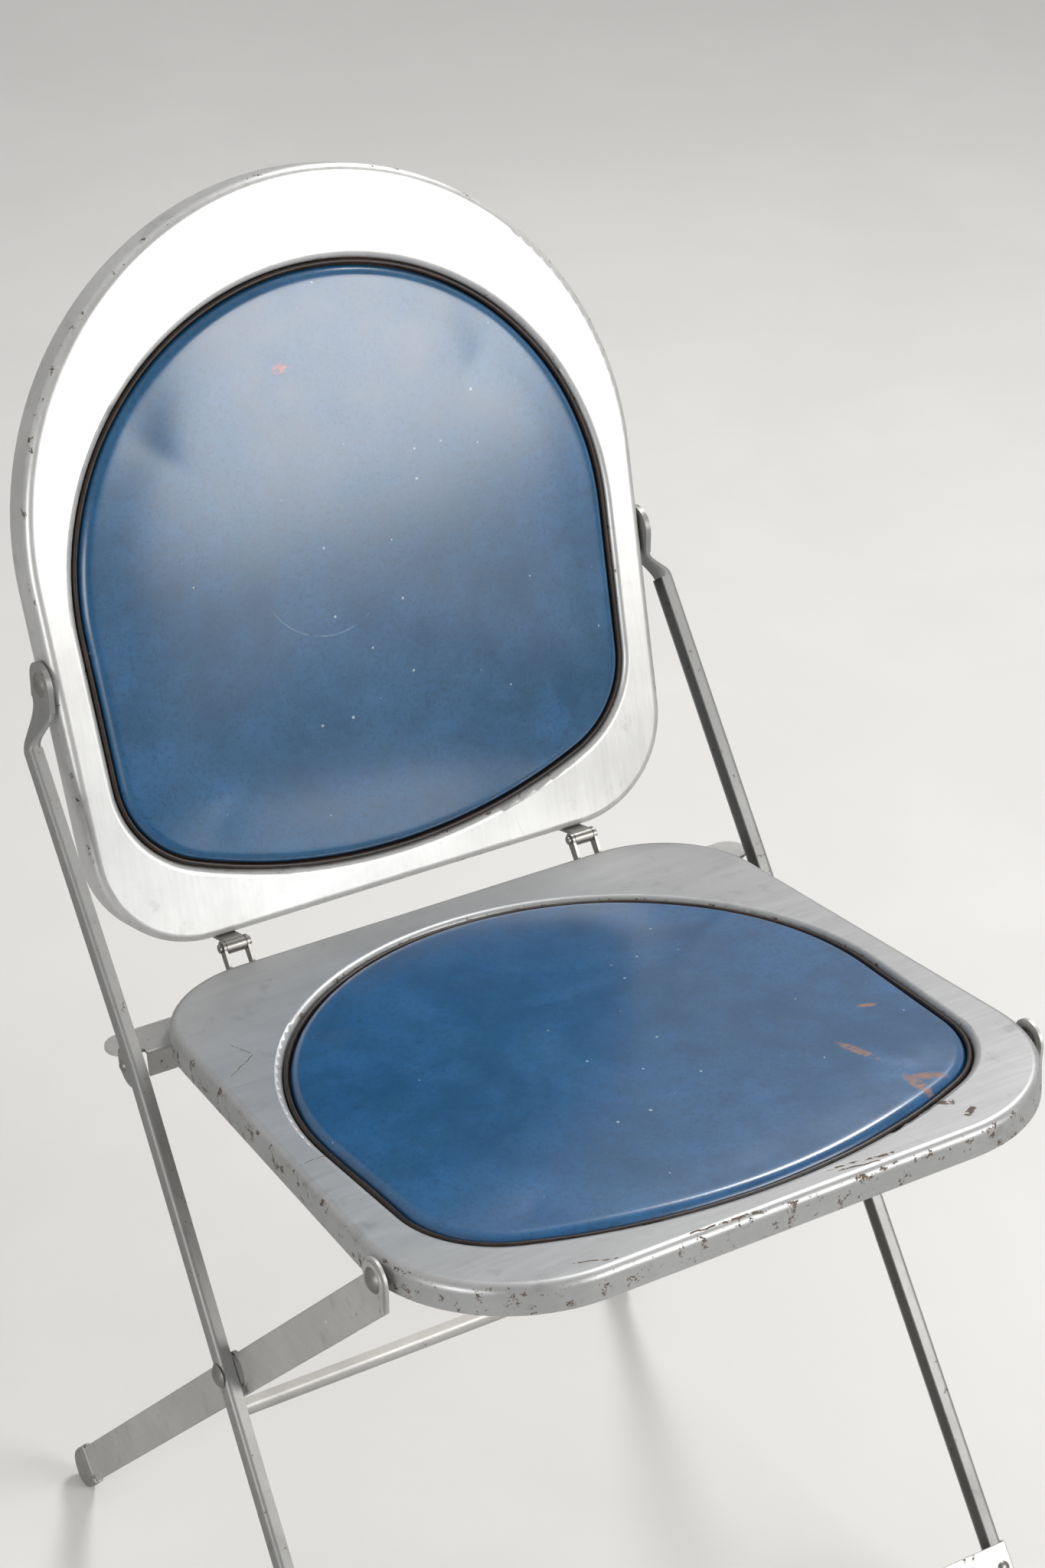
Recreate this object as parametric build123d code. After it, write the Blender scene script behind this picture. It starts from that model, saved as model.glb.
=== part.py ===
from build123d import *
from math import asin, atan2, cos, degrees, hypot, radians, sin, tan
import os

# Steel folding chair with pressed seat and back pans and vinyl pads, unfolded for use.
# Millimetres. X runs across the chair, the sitter faces -Y, +Z is up, the floor is z = 0.
# The origin is on the floor under the middle of the whole chair.
# In the side view (Y, Z) four pivots make a four-bar linkage: the rear legs cross the uprights,
# carry the front of the seat, the seat is hinged to the back, and the back hangs on the uprights.

# ---------------------------------------------------------------- seat pan
SEAT_FRONT_HEIGHT = 452.0
SEAT_SLOPE = 5.5
SEAT_DEPTH = 376.0
SEAT_FRONT_WIDTH = 396.0
SEAT_REAR_WIDTH = 363.0
SEAT_FRONT_CORNER = 86.0
SEAT_REAR_CORNER = 66.0
SEAT_OPENING_RADIUS = 170.0
SEAT_FRONT_MARGIN = 17.0
SEAT_REAR_MARGIN = 28.0

# ---------------------------------------------------------------- back pan
BACK_HEIGHT = 410.0
BACK_RADIUS = 189.0
BACK_BOTTOM_WIDTH = 364.0
BACK_CORNER = 62.0
BACK_RECLINE = 16.6
BACK_OPENING_RADIUS = 167.5
BACK_BOTTOM_MARGIN = 19.0
BACK_TOP_MARGIN = 52.0

# ---------------------------------------------------------------- what both pans share
SEAT_SKIRT = 16.0
BACK_SKIRT = 22.0
PAN_WALL = 1.5
PAN_BEND = 5.0
PAN_RETURN = 11.0
LIP_BEND = 4.0
LIP_DEPTH = 8.0
OPENING_TAPER = 2.0
OPENING_CORNER = 62.0
OPENING_FRONT_BOW = 330.0

# ---------------------------------------------------------------- pads, boards and their fixings
WELT_WIDTH = 3.2
WELT_DROP = 1.4
PAD_GAP = 0.4
SEAT_PAD_CROWN = 5.0
BACK_PAD_CROWN = 7.0
PAD_EDGE = 4.5
BOARD_THICK = 4.0
BOARD_OVERLAP = 7.0
CLIP_WIDTH = 16.0
CLIP_THICK = 1.5
CLIP_REACH = 14.0
SCREW_DIAMETER = 4.0
SCREW_HEAD = 8.0

# ---------------------------------------------------------------- side view of the frame
FRONT_FOOT_SETBACK = 29.0
REAR_FOOT_SETBACK = 477.5
HINGE_BEHIND_SEAT = 10.5
HINGE_ABOVE_SEAT = 5.6
HINGE_BEFORE_BACK = 7.0
SEAT_PIVOT_SETBACK = 69.5
SEAT_PIVOT_DROP = 10.0
BACK_PIVOT_RISE = 165.0
BACK_PIVOT_DEPTH = 9.5
JOGGLE_DROP = 25.0
JOGGLE_FORWARD = 4.0
BEND_DROP = 150.0
BEND_FORWARD = 5.3
CROSSING_RISE = 3.0

# ---------------------------------------------------------------- uprights
UPRIGHT_WIDTH = 12.0
UPRIGHT_DEPTH = 8.0
UPRIGHT_WALL = 1.4
UPRIGHT_ROUND = 3.0
FOOT_SPLAY = 9.3
TAB_RADIUS = 12.5
TAB_THICK = 3.2
JOGGLE_LENGTH = 30.0
LOBE_THICK = 2.4
LOBE_RADIUS = 12.0
LOBE_HEIGHT = 404.0
STOP_GAP = 0.4
STRETCHER_WIDTH = 28.0
STRETCHER_THICK = 1.6
STRETCHER_HEIGHT = 54.0
STRETCHER_WRAP = 12.0
STRETCHER_RIVET_IN = 1.4

# ---------------------------------------------------------------- rear legs
LEG_WIDTH = 22.4
LEG_WALL = 1.4
LEG_FLANGE = 3.4
LEG_END_OFFSET = 6.0
LEG_TOP_ROUND = 9.5
PLATE_THICK = 1.6
PLATE_LENGTH = 46.0
PLATE_RIM = 1.8
FLANGE_START = 52.0
BOSS_RADIUS = 10.0
BOSS_HEIGHT = 1.2
BRACE_WIDTH = 17.0
BRACE_DEPTH = 9.0
BRACE_WALL = 1.5
BRACE_BELOW_PIVOT = 36.0
DIMPLE_RADIUS = 3.0

# ---------------------------------------------------------------- hook bar and hinges
HOOK_FROM = 340.5
HOOK_DEPTH = 24.0
HOOK_HEIGHT = 15.0
HOOK_WALL = 2.0
HOOK_HALF_WIDTH = 191.0
HOOK_TONGUE_DEPTH = 33.0
HOOK_EAR_INSET = 5.0
HOOK_EAR_DEPTH = 23.0
HOOK_OVERHANG = 1.5
HINGE_SPACING = 228.0
LUG_WIDTH = 12.0
LUG_WALL = 1.6
PIN_DIAMETER = 5.0
BRACKET_WALL = 1.6
LUG_RIVET_BACK = 12.0

# ---------------------------------------------------------------- fits and fasteners
SIDE_GAP = 0.4
RUNNING_FIT = 0.05
WASHER_THICK = 0.8
PIVOT_RIVET = 6.0
PIVOT_HEAD = 14.0
PIVOT_HEAD_HEIGHT = 3.0
SPACER_RADIUS = 9.0
SMALL_RIVET = 4.0
SMALL_HEAD = 8.0
SMALL_HEAD_HEIGHT = 1.8
SHOP_HEAD_HEIGHT = 1.4
CAP_WALL = 1.6
CAP_COVER = 16.0
CAP_ROUND = 2.6
CAP_FLAT = 0.8


# ---------------------------------------------------------------- side view geometry
def rotate_point(point, centre, angle):
    """Turn a side-view point about a centre, in degrees from +Y towards +Z."""
    dy, dz = point[0] - centre[0], point[1] - centre[1]
    c, s = cos(radians(angle)), sin(radians(angle))
    return (centre[0] + dy * c - dz * s, centre[1] + dy * s + dz * c)


def direction(start, end):
    """Unit vector from one side-view point to another."""
    length = hypot(end[0] - start[0], end[1] - start[1])
    return ((end[0] - start[0]) / length, (end[1] - start[1]) / length)


def along(start, way, distance, across=0.0):
    """A point at a distance along a way, and across it to its right-hand side."""
    return (start[0] + way[0] * distance + way[1] * across,
            start[1] + way[1] * distance - way[0] * across)


def crossing(a, way_a, b, way_b):
    """Where two side-view lines meet."""
    det = way_a[1] * way_b[0] - way_a[0] * way_b[1]
    t = ((b[1] - a[1]) * way_b[0] - (b[0] - a[0]) * way_b[1]) / det
    return (a[0] + way_a[0] * t, a[1] + way_a[1] * t)


SEAT_RUN = (cos(radians(SEAT_SLOPE)), -sin(radians(SEAT_SLOPE)))
BACK_RISE = (sin(radians(BACK_RECLINE)), cos(radians(BACK_RECLINE)))

# Everything is placed first with the seat's front edge at y = 0, then moved back by half the depth.
front_edge = (0.0, SEAT_FRONT_HEIGHT)
rear_edge = along(front_edge, SEAT_RUN, SEAT_DEPTH)
KNUCKLE_RADIUS = PIN_DIAMETER / 2 + RUNNING_FIT + LUG_WALL
hinge = along(rear_edge, SEAT_RUN, HINGE_BEHIND_SEAT, -HINGE_ABOVE_SEAT)
back_foot = along(hinge, BACK_RISE, KNUCKLE_RADIUS, HINGE_BEFORE_BACK)
back_top = along(back_foot, BACK_RISE, BACK_HEIGHT, BACK_SKIRT)
skirt_front = along(front_edge, SEAT_RUN, 0.0, SEAT_SKIRT)
SHIFT = -(skirt_front[0] + back_top[0]) / 2


def shifted(point):
    """Move a side-view point so that the chair's middle is at y = 0."""
    return (point[0] + SHIFT, point[1])


front_edge = shifted(front_edge)
hinge = shifted(hinge)
back_foot = shifted(back_foot)
seat_pivot = along(front_edge, SEAT_RUN, SEAT_PIVOT_SETBACK, SEAT_PIVOT_DROP)
back_pivot = along(back_foot, BACK_RISE, BACK_PIVOT_RISE, BACK_PIVOT_DEPTH)
front_foot = (front_edge[0] + FRONT_FOOT_SETBACK, 0.0)
rear_foot = (front_edge[0] + REAR_FOOT_SETBACK, 0.0)

# The upright runs from its foot to a slight bend at the seat, then to the joggle under the back pivot.
joggle = (back_pivot[0] - JOGGLE_FORWARD, back_pivot[1] - JOGGLE_DROP)
straight = direction(front_foot, joggle)
bend_height = joggle[1] - BEND_DROP
bend = (front_foot[0] + straight[0] / straight[1] * bend_height - BEND_FORWARD, bend_height)
lower_way = direction(front_foot, bend)
upper_way = direction(bend, joggle)

# The rear leg's centre line passes the seat pivot at LEG_END_OFFSET and ends at the rear foot.
reach = hypot(rear_foot[0] - seat_pivot[0], rear_foot[1] - seat_pivot[1])
to_foot = direction(seat_pivot, rear_foot)
leg_turn = degrees(asin(LEG_END_OFFSET / reach))
leg_way = rotate_point(to_foot, (0.0, 0.0), leg_turn)
leg_top = along(seat_pivot, leg_way, 0.0, LEG_END_OFFSET)
crossing_pivot = along(crossing(front_foot, lower_way, leg_top, leg_way), lower_way, CROSSING_RISE)


# ---------------------------------------------------------------- layers across the chair (half widths)
def seat_half_width(setback):
    """Half width of the seat pan's straight side at a distance behind its front edge."""
    return (SEAT_FRONT_WIDTH + (SEAT_REAR_WIDTH - SEAT_FRONT_WIDTH) * setback / SEAT_DEPTH) / 2


BACK_TAPER = degrees(atan2(BACK_RADIUS - BACK_BOTTOM_WIDTH / 2, BACK_HEIGHT - BACK_RADIUS))


def back_half_width(rise):
    """Half width of the back pan's straight side at a height above its lower edge."""
    below_centre = BACK_HEIGHT - BACK_RADIUS - rise
    return BACK_RADIUS / cos(radians(BACK_TAPER)) - below_centre * tan(radians(BACK_TAPER))


WASHER_IN = seat_half_width(SEAT_FRONT_CORNER) + SIDE_GAP
PLATE_IN = WASHER_IN + WASHER_THICK
LEG_IN = PLATE_IN + PLATE_THICK
LEG_OUT = LEG_IN + LEG_WALL
UPRIGHT_TOP_X = LEG_OUT + SIDE_GAP + UPRIGHT_DEPTH / 2
UPRIGHT_FOOT_X = UPRIGHT_TOP_X + FOOT_SPLAY
CROSSING_X = UPRIGHT_TOP_X + FOOT_SPLAY * (bend[1] - crossing_pivot[1]) / bend[1]
TAB_IN = back_half_width(BACK_PIVOT_RISE) + 2 * SIDE_GAP + WASHER_THICK
TAB_OUT = TAB_IN + TAB_THICK


def on_side(x, point):
    """A 3-D point from a half width and a side-view point."""
    return Vector(x, point[0], point[1])


def side_plate(x, sketch, thick):
    """Extrude a sketch drawn in the side view (its X is chair Y, its Y is chair Z) from x by thick."""
    return Plane(origin=(x, 0, 0), x_dir=(0, 1, 0), z_dir=(1, 0, 0)) * extrude(sketch, thick)


def pin_x(point, radius, x_from, x_to):
    """A cylinder across the chair at a side-view point."""
    return side_plate(min(x_from, x_to), Pos(point[0], point[1]) * Circle(radius), abs(x_to - x_from))


def dome(radius, height):
    """A low domed rivet head on z = 0: the cap of a sphere."""
    sphere = (radius * radius + height * height) / (2 * height)
    return Pos(0, 0, height - sphere) * Sphere(sphere) & Pos(0, 0, height / 2) * Cylinder(radius, height)


def facing_x(point, x, shape, outward=1):
    """Place a shape made on z = 0 so that its z axis points along +X or -X at a side-view point."""
    return Plane(origin=on_side(x, point), x_dir=(0, 1, 0), z_dir=(outward, 0, 0)) * shape


def side_rivet(point, radius, head, head_height, x_in, x_out, shop=True):
    """A rivet across the chair on the +X side: shank from x_in to x_out, dome outside, flat head inside."""
    rivet = pin_x(point, radius, x_in, x_out) + facing_x(point, x_out, dome(head / 2, head_height))
    if shop:
        rivet += pin_x(point, head / 2 - 1.5, x_in - SHOP_HEAD_HEIGHT, x_in)
    return rivet


def both_sides(shape):
    """The shape and its mirror image on the other side of the chair."""
    return [shape, mirror(shape, Plane.YZ)]


# ---------------------------------------------------------------- outlines in a pan's own plane
# A pan is drawn with its face on z = 0, facing +z, and its round end towards +y.
def trapezoid_outline(near_half, far_half, length, near_corner, far_corner):
    """A rounded trapezoid from y = 0 to y = length."""
    corners = [(-near_half, 0), (near_half, 0), (far_half, length), (-far_half, length)]
    face = make_face(Polyline(*corners, close=True))
    face = fillet(face.vertices().group_by(Axis.Y)[0], near_corner)
    return fillet(face.vertices().group_by(Axis.Y)[-1], far_corner) if far_corner else face


def arch_outline(radius, height, taper, corner, bow=0.0):
    """A round-topped outline: an arc, sides tapering to y = 0, and a straight or bowed lower edge."""
    c, s, t = cos(radians(taper)), sin(radians(taper)), tan(radians(taper))
    centre = height - radius
    right = (radius * c, centre - radius * s)
    foot_x = radius / c - centre * t
    rise = bow - (bow * bow - foot_x * foot_x) ** 0.5 if bow else 0.0
    low = (foot_x + rise * t, rise)
    edges = [ThreePointArc((right[0], right[1]), (0, height), (-right[0], right[1]))]
    edges += [Line((-right[0], right[1]), (-low[0], low[1])), Line((low[0], low[1]), (right[0], right[1]))]
    if bow:
        edges += [ThreePointArc((-low[0], low[1]), (0, 0), (low[0], low[1]))]
    else:
        edges += [Line((-low[0], low[1]), (low[0], low[1]))]
    face = make_face(Curve() + edges)
    return fillet(face.vertices().group_by(Axis.Y)[0], corner)


def seat_outline():
    """Outline of the seat pan, from its front edge backwards."""
    return trapezoid_outline(SEAT_FRONT_WIDTH / 2, SEAT_REAR_WIDTH / 2, SEAT_DEPTH,
                             SEAT_FRONT_CORNER, SEAT_REAR_CORNER)


def back_outline():
    """Outline of the back pan, from its lower edge upwards."""
    return arch_outline(BACK_RADIUS, BACK_HEIGHT, BACK_TAPER, BACK_CORNER)


def seat_opening():
    """Opening in the seat pan that the pad fills."""
    length = SEAT_DEPTH - SEAT_FRONT_MARGIN - SEAT_REAR_MARGIN
    return Pos(0, SEAT_FRONT_MARGIN) * arch_outline(
        SEAT_OPENING_RADIUS, length, OPENING_TAPER, OPENING_CORNER, OPENING_FRONT_BOW)


def back_opening():
    """Opening in the back pan that the pad fills."""
    length = BACK_HEIGHT - BACK_BOTTOM_MARGIN - BACK_TOP_MARGIN
    return Pos(0, BACK_BOTTOM_MARGIN) * arch_outline(
        BACK_OPENING_RADIUS, length, OPENING_TAPER, OPENING_CORNER, OPENING_FRONT_BOW)


SEAT_PLANE = Plane(origin=(0, front_edge[0], front_edge[1]), x_dir=(1, 0, 0),
                   z_dir=(0, -SEAT_RUN[1], SEAT_RUN[0]))
BACK_PLANE = Plane(origin=(0, back_foot[0], back_foot[1]), x_dir=(1, 0, 0),
                   z_dir=(0, -BACK_RISE[1], BACK_RISE[0]))


# ---------------------------------------------------------------- pans, pads and boards
def edges_at(shape, z):
    """Edges that lie flat at a height."""
    return shape.edges().filter_by_position(Axis.Z, z - 0.001, z + 0.001)


def pan(outline, opening, skirt):
    """Pressed tray: flat face, rounded rim and skirt, inward return, and a lip rolled into the opening."""
    body = extrude(outline, -skirt)
    body = fillet(edges_at(body, 0), PAN_BEND)
    hollow = extrude(Pos(0, 0, -PAN_WALL) * offset(outline, -PAN_WALL), -(skirt - 2 * PAN_WALL))
    island = extrude(Pos(0, 0, -PAN_WALL) * offset(opening, PAN_WALL), -(LIP_DEPTH - PAN_WALL))
    hollow -= island
    turned = [e for e in edges_at(hollow, -PAN_WALL) if near(e, offset(opening, PAN_WALL).edges())]
    hollow = fillet(turned, LIP_BEND - PAN_WALL)
    turned = [e for e in edges_at(hollow, -PAN_WALL) if near(e, offset(outline, -PAN_WALL).edges())]
    hollow = fillet(turned, PAN_BEND - PAN_WALL)
    body -= hollow
    body -= extrude(Pos(0, 0, -skirt) * offset(outline, -PAN_RETURN), PAN_WALL)
    body -= extrude(opening, -skirt)
    rim = [e for e in edges_at(body, 0) if near(e, opening.edges())]
    return fillet(rim, LIP_BEND)


def near(edge, others):
    """Whether an edge's middle lies on one of the other edges, seen along z."""
    middle = edge @ 0.5
    return any(other.distance_to(Vector(middle.X, middle.Y, (other @ 0.5).Z)) < 0.05 for other in others)


def pad(opening, crown):
    """Plain closed solid of a pad: the opening's shape, raised above the pan's face, with a soft edge."""
    shape = offset(opening, -(PAD_GAP + WELT_WIDTH + PAD_GAP))
    body = extrude(Pos(0, 0, -LIP_DEPTH) * shape, LIP_DEPTH + crown)
    return fillet(edges_at(body, crown), PAD_EDGE)


def welt(opening):
    """Rounded trim strip in the gap between the rolled lip and the pad."""
    outer = offset(opening, -PAD_GAP)
    ring = outer - offset(opening, -(PAD_GAP + WELT_WIDTH))
    body = extrude(Pos(0, 0, -WELT_DROP) * ring, -(LIP_DEPTH - WELT_DROP))
    return fillet(edges_at(body, -WELT_DROP), WELT_WIDTH / 2 - 0.3)


def board(opening):
    """Flat board under the pad, wider than the opening all round."""
    return extrude(Pos(0, 0, -LIP_DEPTH - BOARD_THICK) * offset(opening, BOARD_OVERLAP), BOARD_THICK)


def clip_spots(half_width, length, opening_radius, near_margin, far_margin):
    """Where the four board clips stand: middle, turn, return's inner edge and board's edge for each."""
    middle = length / 2
    side = half_width - PAN_RETURN
    side_board = opening_radius + BOARD_OVERLAP - CLIP_THICK
    return [(middle, 0, side, side_board), (middle, 180, side, side_board),
            (0, 90, length - PAN_RETURN, length - far_margin + BOARD_OVERLAP),
            (0, 270, -PAN_RETURN, -(near_margin - BOARD_OVERLAP))]


def at_spot(spot, shape):
    """Turn a shape made along +x to its clip spot."""
    middle, turn, _, _ = spot
    place = Pos(0, middle, 0) if turn in (0, 180) else Pos(0, 0, 0)
    return place * Rot(0, 0, turn) * shape


def clip_and_screw(spot, skirt):
    """One Z-shaped clip from the pan's return to under the board, with its screw."""
    _, _, inner, board_edge = spot
    low = -skirt + PAN_WALL
    high = -LIP_DEPTH - BOARD_THICK
    hold = min(board_edge, inner) - CLIP_REACH / 2
    start = hold - CLIP_REACH / 2
    profile = [(inner + PAN_RETURN - 2 * PAN_WALL, low), (inner, low), (inner, high - CLIP_THICK),
               (start, high - CLIP_THICK), (start, high), (inner + CLIP_THICK, high),
               (inner + CLIP_THICK, low + CLIP_THICK), (inner + PAN_RETURN - 2 * PAN_WALL, low + CLIP_THICK)]
    face = Plane.XZ * make_face(Polyline(*profile, close=True))
    clip = extrude(face, CLIP_WIDTH / 2, both=True)
    shank = SCREW_DIAMETER / 2
    length = CLIP_THICK + BOARD_THICK - 1
    clip -= Pos(hold, 0, high) * Cylinder(shank + RUNNING_FIT, 4 * CLIP_THICK)
    screw = Pos(hold, 0, high - CLIP_THICK + length / 2) * Cylinder(shank, length)
    screw += Pos(hold, 0, high - CLIP_THICK) * Rot(180, 0, 0) * dome(SCREW_HEAD / 2, SMALL_HEAD_HEIGHT)
    hole = Pos(hold, 0, high + BOARD_THICK / 2) * Cylinder(shank + RUNNING_FIT, 2 * BOARD_THICK)
    return at_spot(spot, clip), at_spot(spot, screw), at_spot(spot, hole)


def cushion(plane, outline, opening, crown, skirt, spots):
    """A pan with its pad, welt, board, clips and screws, placed in its plane."""
    made = [clip_and_screw(spot, skirt) for spot in spots]
    under = board(opening)
    for _, _, hole in made:
        under -= hole
    filling = pad(opening, crown)
    for _, screw, _ in made:
        filling -= screw
    return {"pan": plane * pan(outline, opening, skirt), "pad": plane * filling,
            "welt": plane * welt(opening), "board": plane * under, "clips": [plane * m[0] for m in made],
            "screws": [plane * m[1] for m in made]}


# ---------------------------------------------------------------- uprights
def upright_section():
    """Channel section: web with rounded corners at -y, open towards +y."""
    outer = Rectangle(UPRIGHT_WIDTH, UPRIGHT_DEPTH)
    outer = fillet(outer.vertices().group_by(Axis.Y)[0], UPRIGHT_ROUND)
    inner = Pos(0, UPRIGHT_WALL) * Rectangle(UPRIGHT_WIDTH - 2 * UPRIGHT_WALL, UPRIGHT_DEPTH)
    inner = fillet(inner.vertices().group_by(Axis.Y)[0], UPRIGHT_ROUND - UPRIGHT_WALL)
    return outer - inner


def axis_plane(start, end):
    """Plane across an upright at start: its x is the rear side, its y points inwards."""
    way = (end - start).normalized()
    return Plane(origin=start, x_dir=Vector(0, way.Z, -way.Y), z_dir=way)


FRONT_CAP_RADIUS = UPRIGHT_WIDTH / 2 + CAP_WALL
UPRIGHT_END = along(front_foot, lower_way, (FRONT_CAP_RADIUS - CAP_FLAT) / lower_way[1])
FOOT_AT = on_side(UPRIGHT_FOOT_X, UPRIGHT_END)
BEND_AT = on_side(UPRIGHT_TOP_X, bend)
JOGGLE_FROM = along(joggle, upper_way, -JOGGLE_LENGTH / 3)
JOGGLE_AT = on_side(UPRIGHT_TOP_X, JOGGLE_FROM)
TAB_X = (TAB_IN + TAB_OUT) / 2
TAB_FOOT = (back_pivot[0], back_pivot[1] - TAB_RADIUS)


def joggle_solid():
    """The flattened channel: sections that ease inwards, thin out and turn upright."""
    sections = []
    steps = 6
    for i in range(steps + 1):
        t = i / steps
        ease = t * t * (3 - 2 * t)
        rise = (1 - t) ** 2
        y = JOGGLE_FROM[0] * rise + joggle[0] * 2 * t * (1 - t) + TAB_FOOT[0] * t * t
        z = JOGGLE_FROM[1] * rise + joggle[1] * 2 * t * (1 - t) + TAB_FOOT[1] * t * t
        x = UPRIGHT_TOP_X + (TAB_X - UPRIGHT_TOP_X) * ease
        way_y = upper_way[0] * (1 - t)
        way = Vector(0, way_y, (1 - way_y * way_y) ** 0.5)
        width = UPRIGHT_WIDTH + (2 * TAB_RADIUS - UPRIGHT_WIDTH) * t
        depth = UPRIGHT_DEPTH + (TAB_THICK - UPRIGHT_DEPTH) * min(1.0, 1.3 * t)
        place = Plane(origin=(x, y, z), x_dir=Vector(0, way.Z, -way.Y), z_dir=way)
        sections.append(place * RectangleRounded(width, depth, depth * 0.42))
    return loft(sections)


def upright():
    """Right-hand upright with its bend, stop lobe, joggle, tab and holes."""
    path = Polyline(FOOT_AT, BEND_AT, JOGGLE_AT)
    body = sweep(axis_plane(FOOT_AT, BEND_AT) * upright_section(), path=path, transition=Transition.RIGHT)
    body += joggle_solid()
    tab = Pos(*back_pivot) * Circle(TAB_RADIUS)
    tab += Pos(back_pivot[0], back_pivot[1] - TAB_RADIUS / 2) * Rectangle(2 * TAB_RADIUS, TAB_RADIUS)
    body += side_plate(TAB_IN, tab, TAB_THICK)
    lean = degrees(atan2(upper_way[1], upper_way[0]))
    behind = Pos(*bend) * Rot(0, 0, lean) * Pos(0, -LOBE_RADIUS) * Rectangle(6 * LOBE_RADIUS, 2 * LOBE_RADIUS)
    lobe = (Pos(*LOBE_CENTRE) * Circle(LOBE_RADIUS)) & behind
    lobe = side_plate(UPRIGHT_TOP_X + UPRIGHT_DEPTH / 2 - LOBE_THICK, lobe, LOBE_THICK)
    body += fillet(edges_at_x(lobe, UPRIGHT_TOP_X + UPRIGHT_DEPTH / 2), LOBE_THICK / 3)
    for point, radius in ((crossing_pivot, PIVOT_RIVET / 2), (back_pivot, PIVOT_RIVET / 2),
                          (STOP_RIVET_AT, SMALL_RIVET / 2)):
        body -= pin_x(point, radius, TAB_IN - 1, UPRIGHT_FOOT_X + UPRIGHT_DEPTH)
    return body - stretcher_rivet_hole()


def edges_at_x(shape, x):
    """Edges that lie in a plane across the chair at x."""
    return shape.edges().filter_by_position(Axis.X, x - 0.001, x + 0.001)


EAR_FRONT = along(front_edge, SEAT_RUN, HOOK_FROM + HOOK_EAR_INSET, SEAT_SKIRT)
LOBE_CENTRE = (EAR_FRONT[0] - STOP_GAP - LOBE_RADIUS, LOBE_HEIGHT)
STOP_RIVET_AT = (LOBE_CENTRE[0] + LOBE_RADIUS * 0.48, LOBE_CENTRE[1] - LOBE_RADIUS / 4)


def crossing_parts():
    """Rivet and spacer of the crossing pivot: fixed in the upright, turning in the rear leg."""
    web = CROSSING_X + UPRIGHT_DEPTH / 2
    rivet = side_rivet(crossing_pivot, PIVOT_RIVET / 2, PIVOT_HEAD, PIVOT_HEAD_HEIGHT, LEG_IN, web + SIDE_GAP)
    inside = LEG_OUT + BOSS_HEIGHT + 2 * RUNNING_FIT
    spacer = pin_x(crossing_pivot, SPACER_RADIUS, inside, CROSSING_X - UPRIGHT_DEPTH / 2 - SIDE_GAP)
    tube = UPRIGHT_WIDTH / 2 - UPRIGHT_WALL - SIDE_GAP / 2
    spacer += pin_x(crossing_pivot, tube, inside, web - UPRIGHT_WALL - SIDE_GAP)
    spacer -= pin_x(crossing_pivot, PIVOT_RIVET / 2, inside - 1, web)
    return rivet, spacer


def back_pivot_parts():
    """Rivet and washer that hang the back between the upright tabs."""
    skirt = back_half_width(BACK_PIVOT_RISE)
    rivet = side_rivet(back_pivot, PIVOT_RIVET / 2, PIVOT_HEAD, PIVOT_HEAD_HEIGHT,
                       skirt - PAN_WALL - SIDE_GAP, TAB_OUT)
    washer = pin_x(back_pivot, PIVOT_RIVET + 1, TAB_IN - WASHER_THICK, TAB_IN)
    washer -= pin_x(back_pivot, PIVOT_RIVET / 2, TAB_IN - 2, TAB_IN + 1)
    return rivet, washer


def stop_rivet():
    """Small rivet where the upright is flattened at the seat stop."""
    outer = UPRIGHT_TOP_X + UPRIGHT_DEPTH / 2
    return side_rivet(STOP_RIVET_AT, SMALL_RIVET / 2, SMALL_HEAD - 1, SMALL_HEAD_HEIGHT,
                      outer - LOBE_THICK, outer)


# ---------------------------------------------------------------- foot stretcher and front caps
def stretcher_plane():
    """Plane on the right upright at the stretcher: x is the rear side, y inwards, z up the upright."""
    plane = axis_plane(FOOT_AT, BEND_AT)
    up = (STRETCHER_HEIGHT - UPRIGHT_END[1]) / lower_way[1]
    return Plane(origin=plane.origin + plane.z_dir * up, x_dir=plane.x_dir, z_dir=plane.z_dir)


def stretcher():
    """Flat strip across the front of both uprights, its ends wrapped round their outer sides."""
    plane = stretcher_plane()
    front = -UPRIGHT_WIDTH / 2 - STRETCHER_THICK / 2
    outer = plane.origin.X + UPRIGHT_DEPTH / 2 + STRETCHER_THICK
    centre = plane.from_local_coords(Vector(front, 0, 0))
    flat = Plane(origin=(0, centre.Y, centre.Z), x_dir=(1, 0, 0), z_dir=(0, lower_way[1], -lower_way[0]))
    strip = flat * Box(2 * (outer - STRETCHER_THICK), STRETCHER_WIDTH, STRETCHER_THICK)
    wrap_length = STRETCHER_WRAP + STRETCHER_THICK
    wrap_y = -UPRIGHT_DEPTH / 2 - STRETCHER_THICK / 2 - 0.05
    wrap = Pos(front - STRETCHER_THICK / 2 + wrap_length / 2, wrap_y, 0)
    wrap = wrap * Box(wrap_length, STRETCHER_THICK, STRETCHER_WIDTH)
    corner = wrap.edges().filter_by(Axis.Z).group_by(Axis.X)[0].group_by(Axis.Y)[0]
    wrap = plane * fillet(corner, STRETCHER_THICK * 0.9)
    for piece in both_sides(wrap):
        strip += piece
    for hole in both_sides(stretcher_rivet_hole()):
        strip -= hole
    return strip


def stretcher_rivet_place():
    """Where a rivet goes through the strip, square to it, its x axis to the rear."""
    return stretcher_plane() * Pos(0, STRETCHER_RIVET_IN, 0)


def stretcher_rivet_hole():
    """Hole through the strip and the upright's front flange."""
    hole = Rot(0, 90, 0) * Cylinder(SMALL_RIVET / 2, 4 * STRETCHER_THICK + 2 * UPRIGHT_WALL)
    return stretcher_rivet_place() * Pos(-UPRIGHT_WIDTH / 2, 0, 0) * hole


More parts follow.
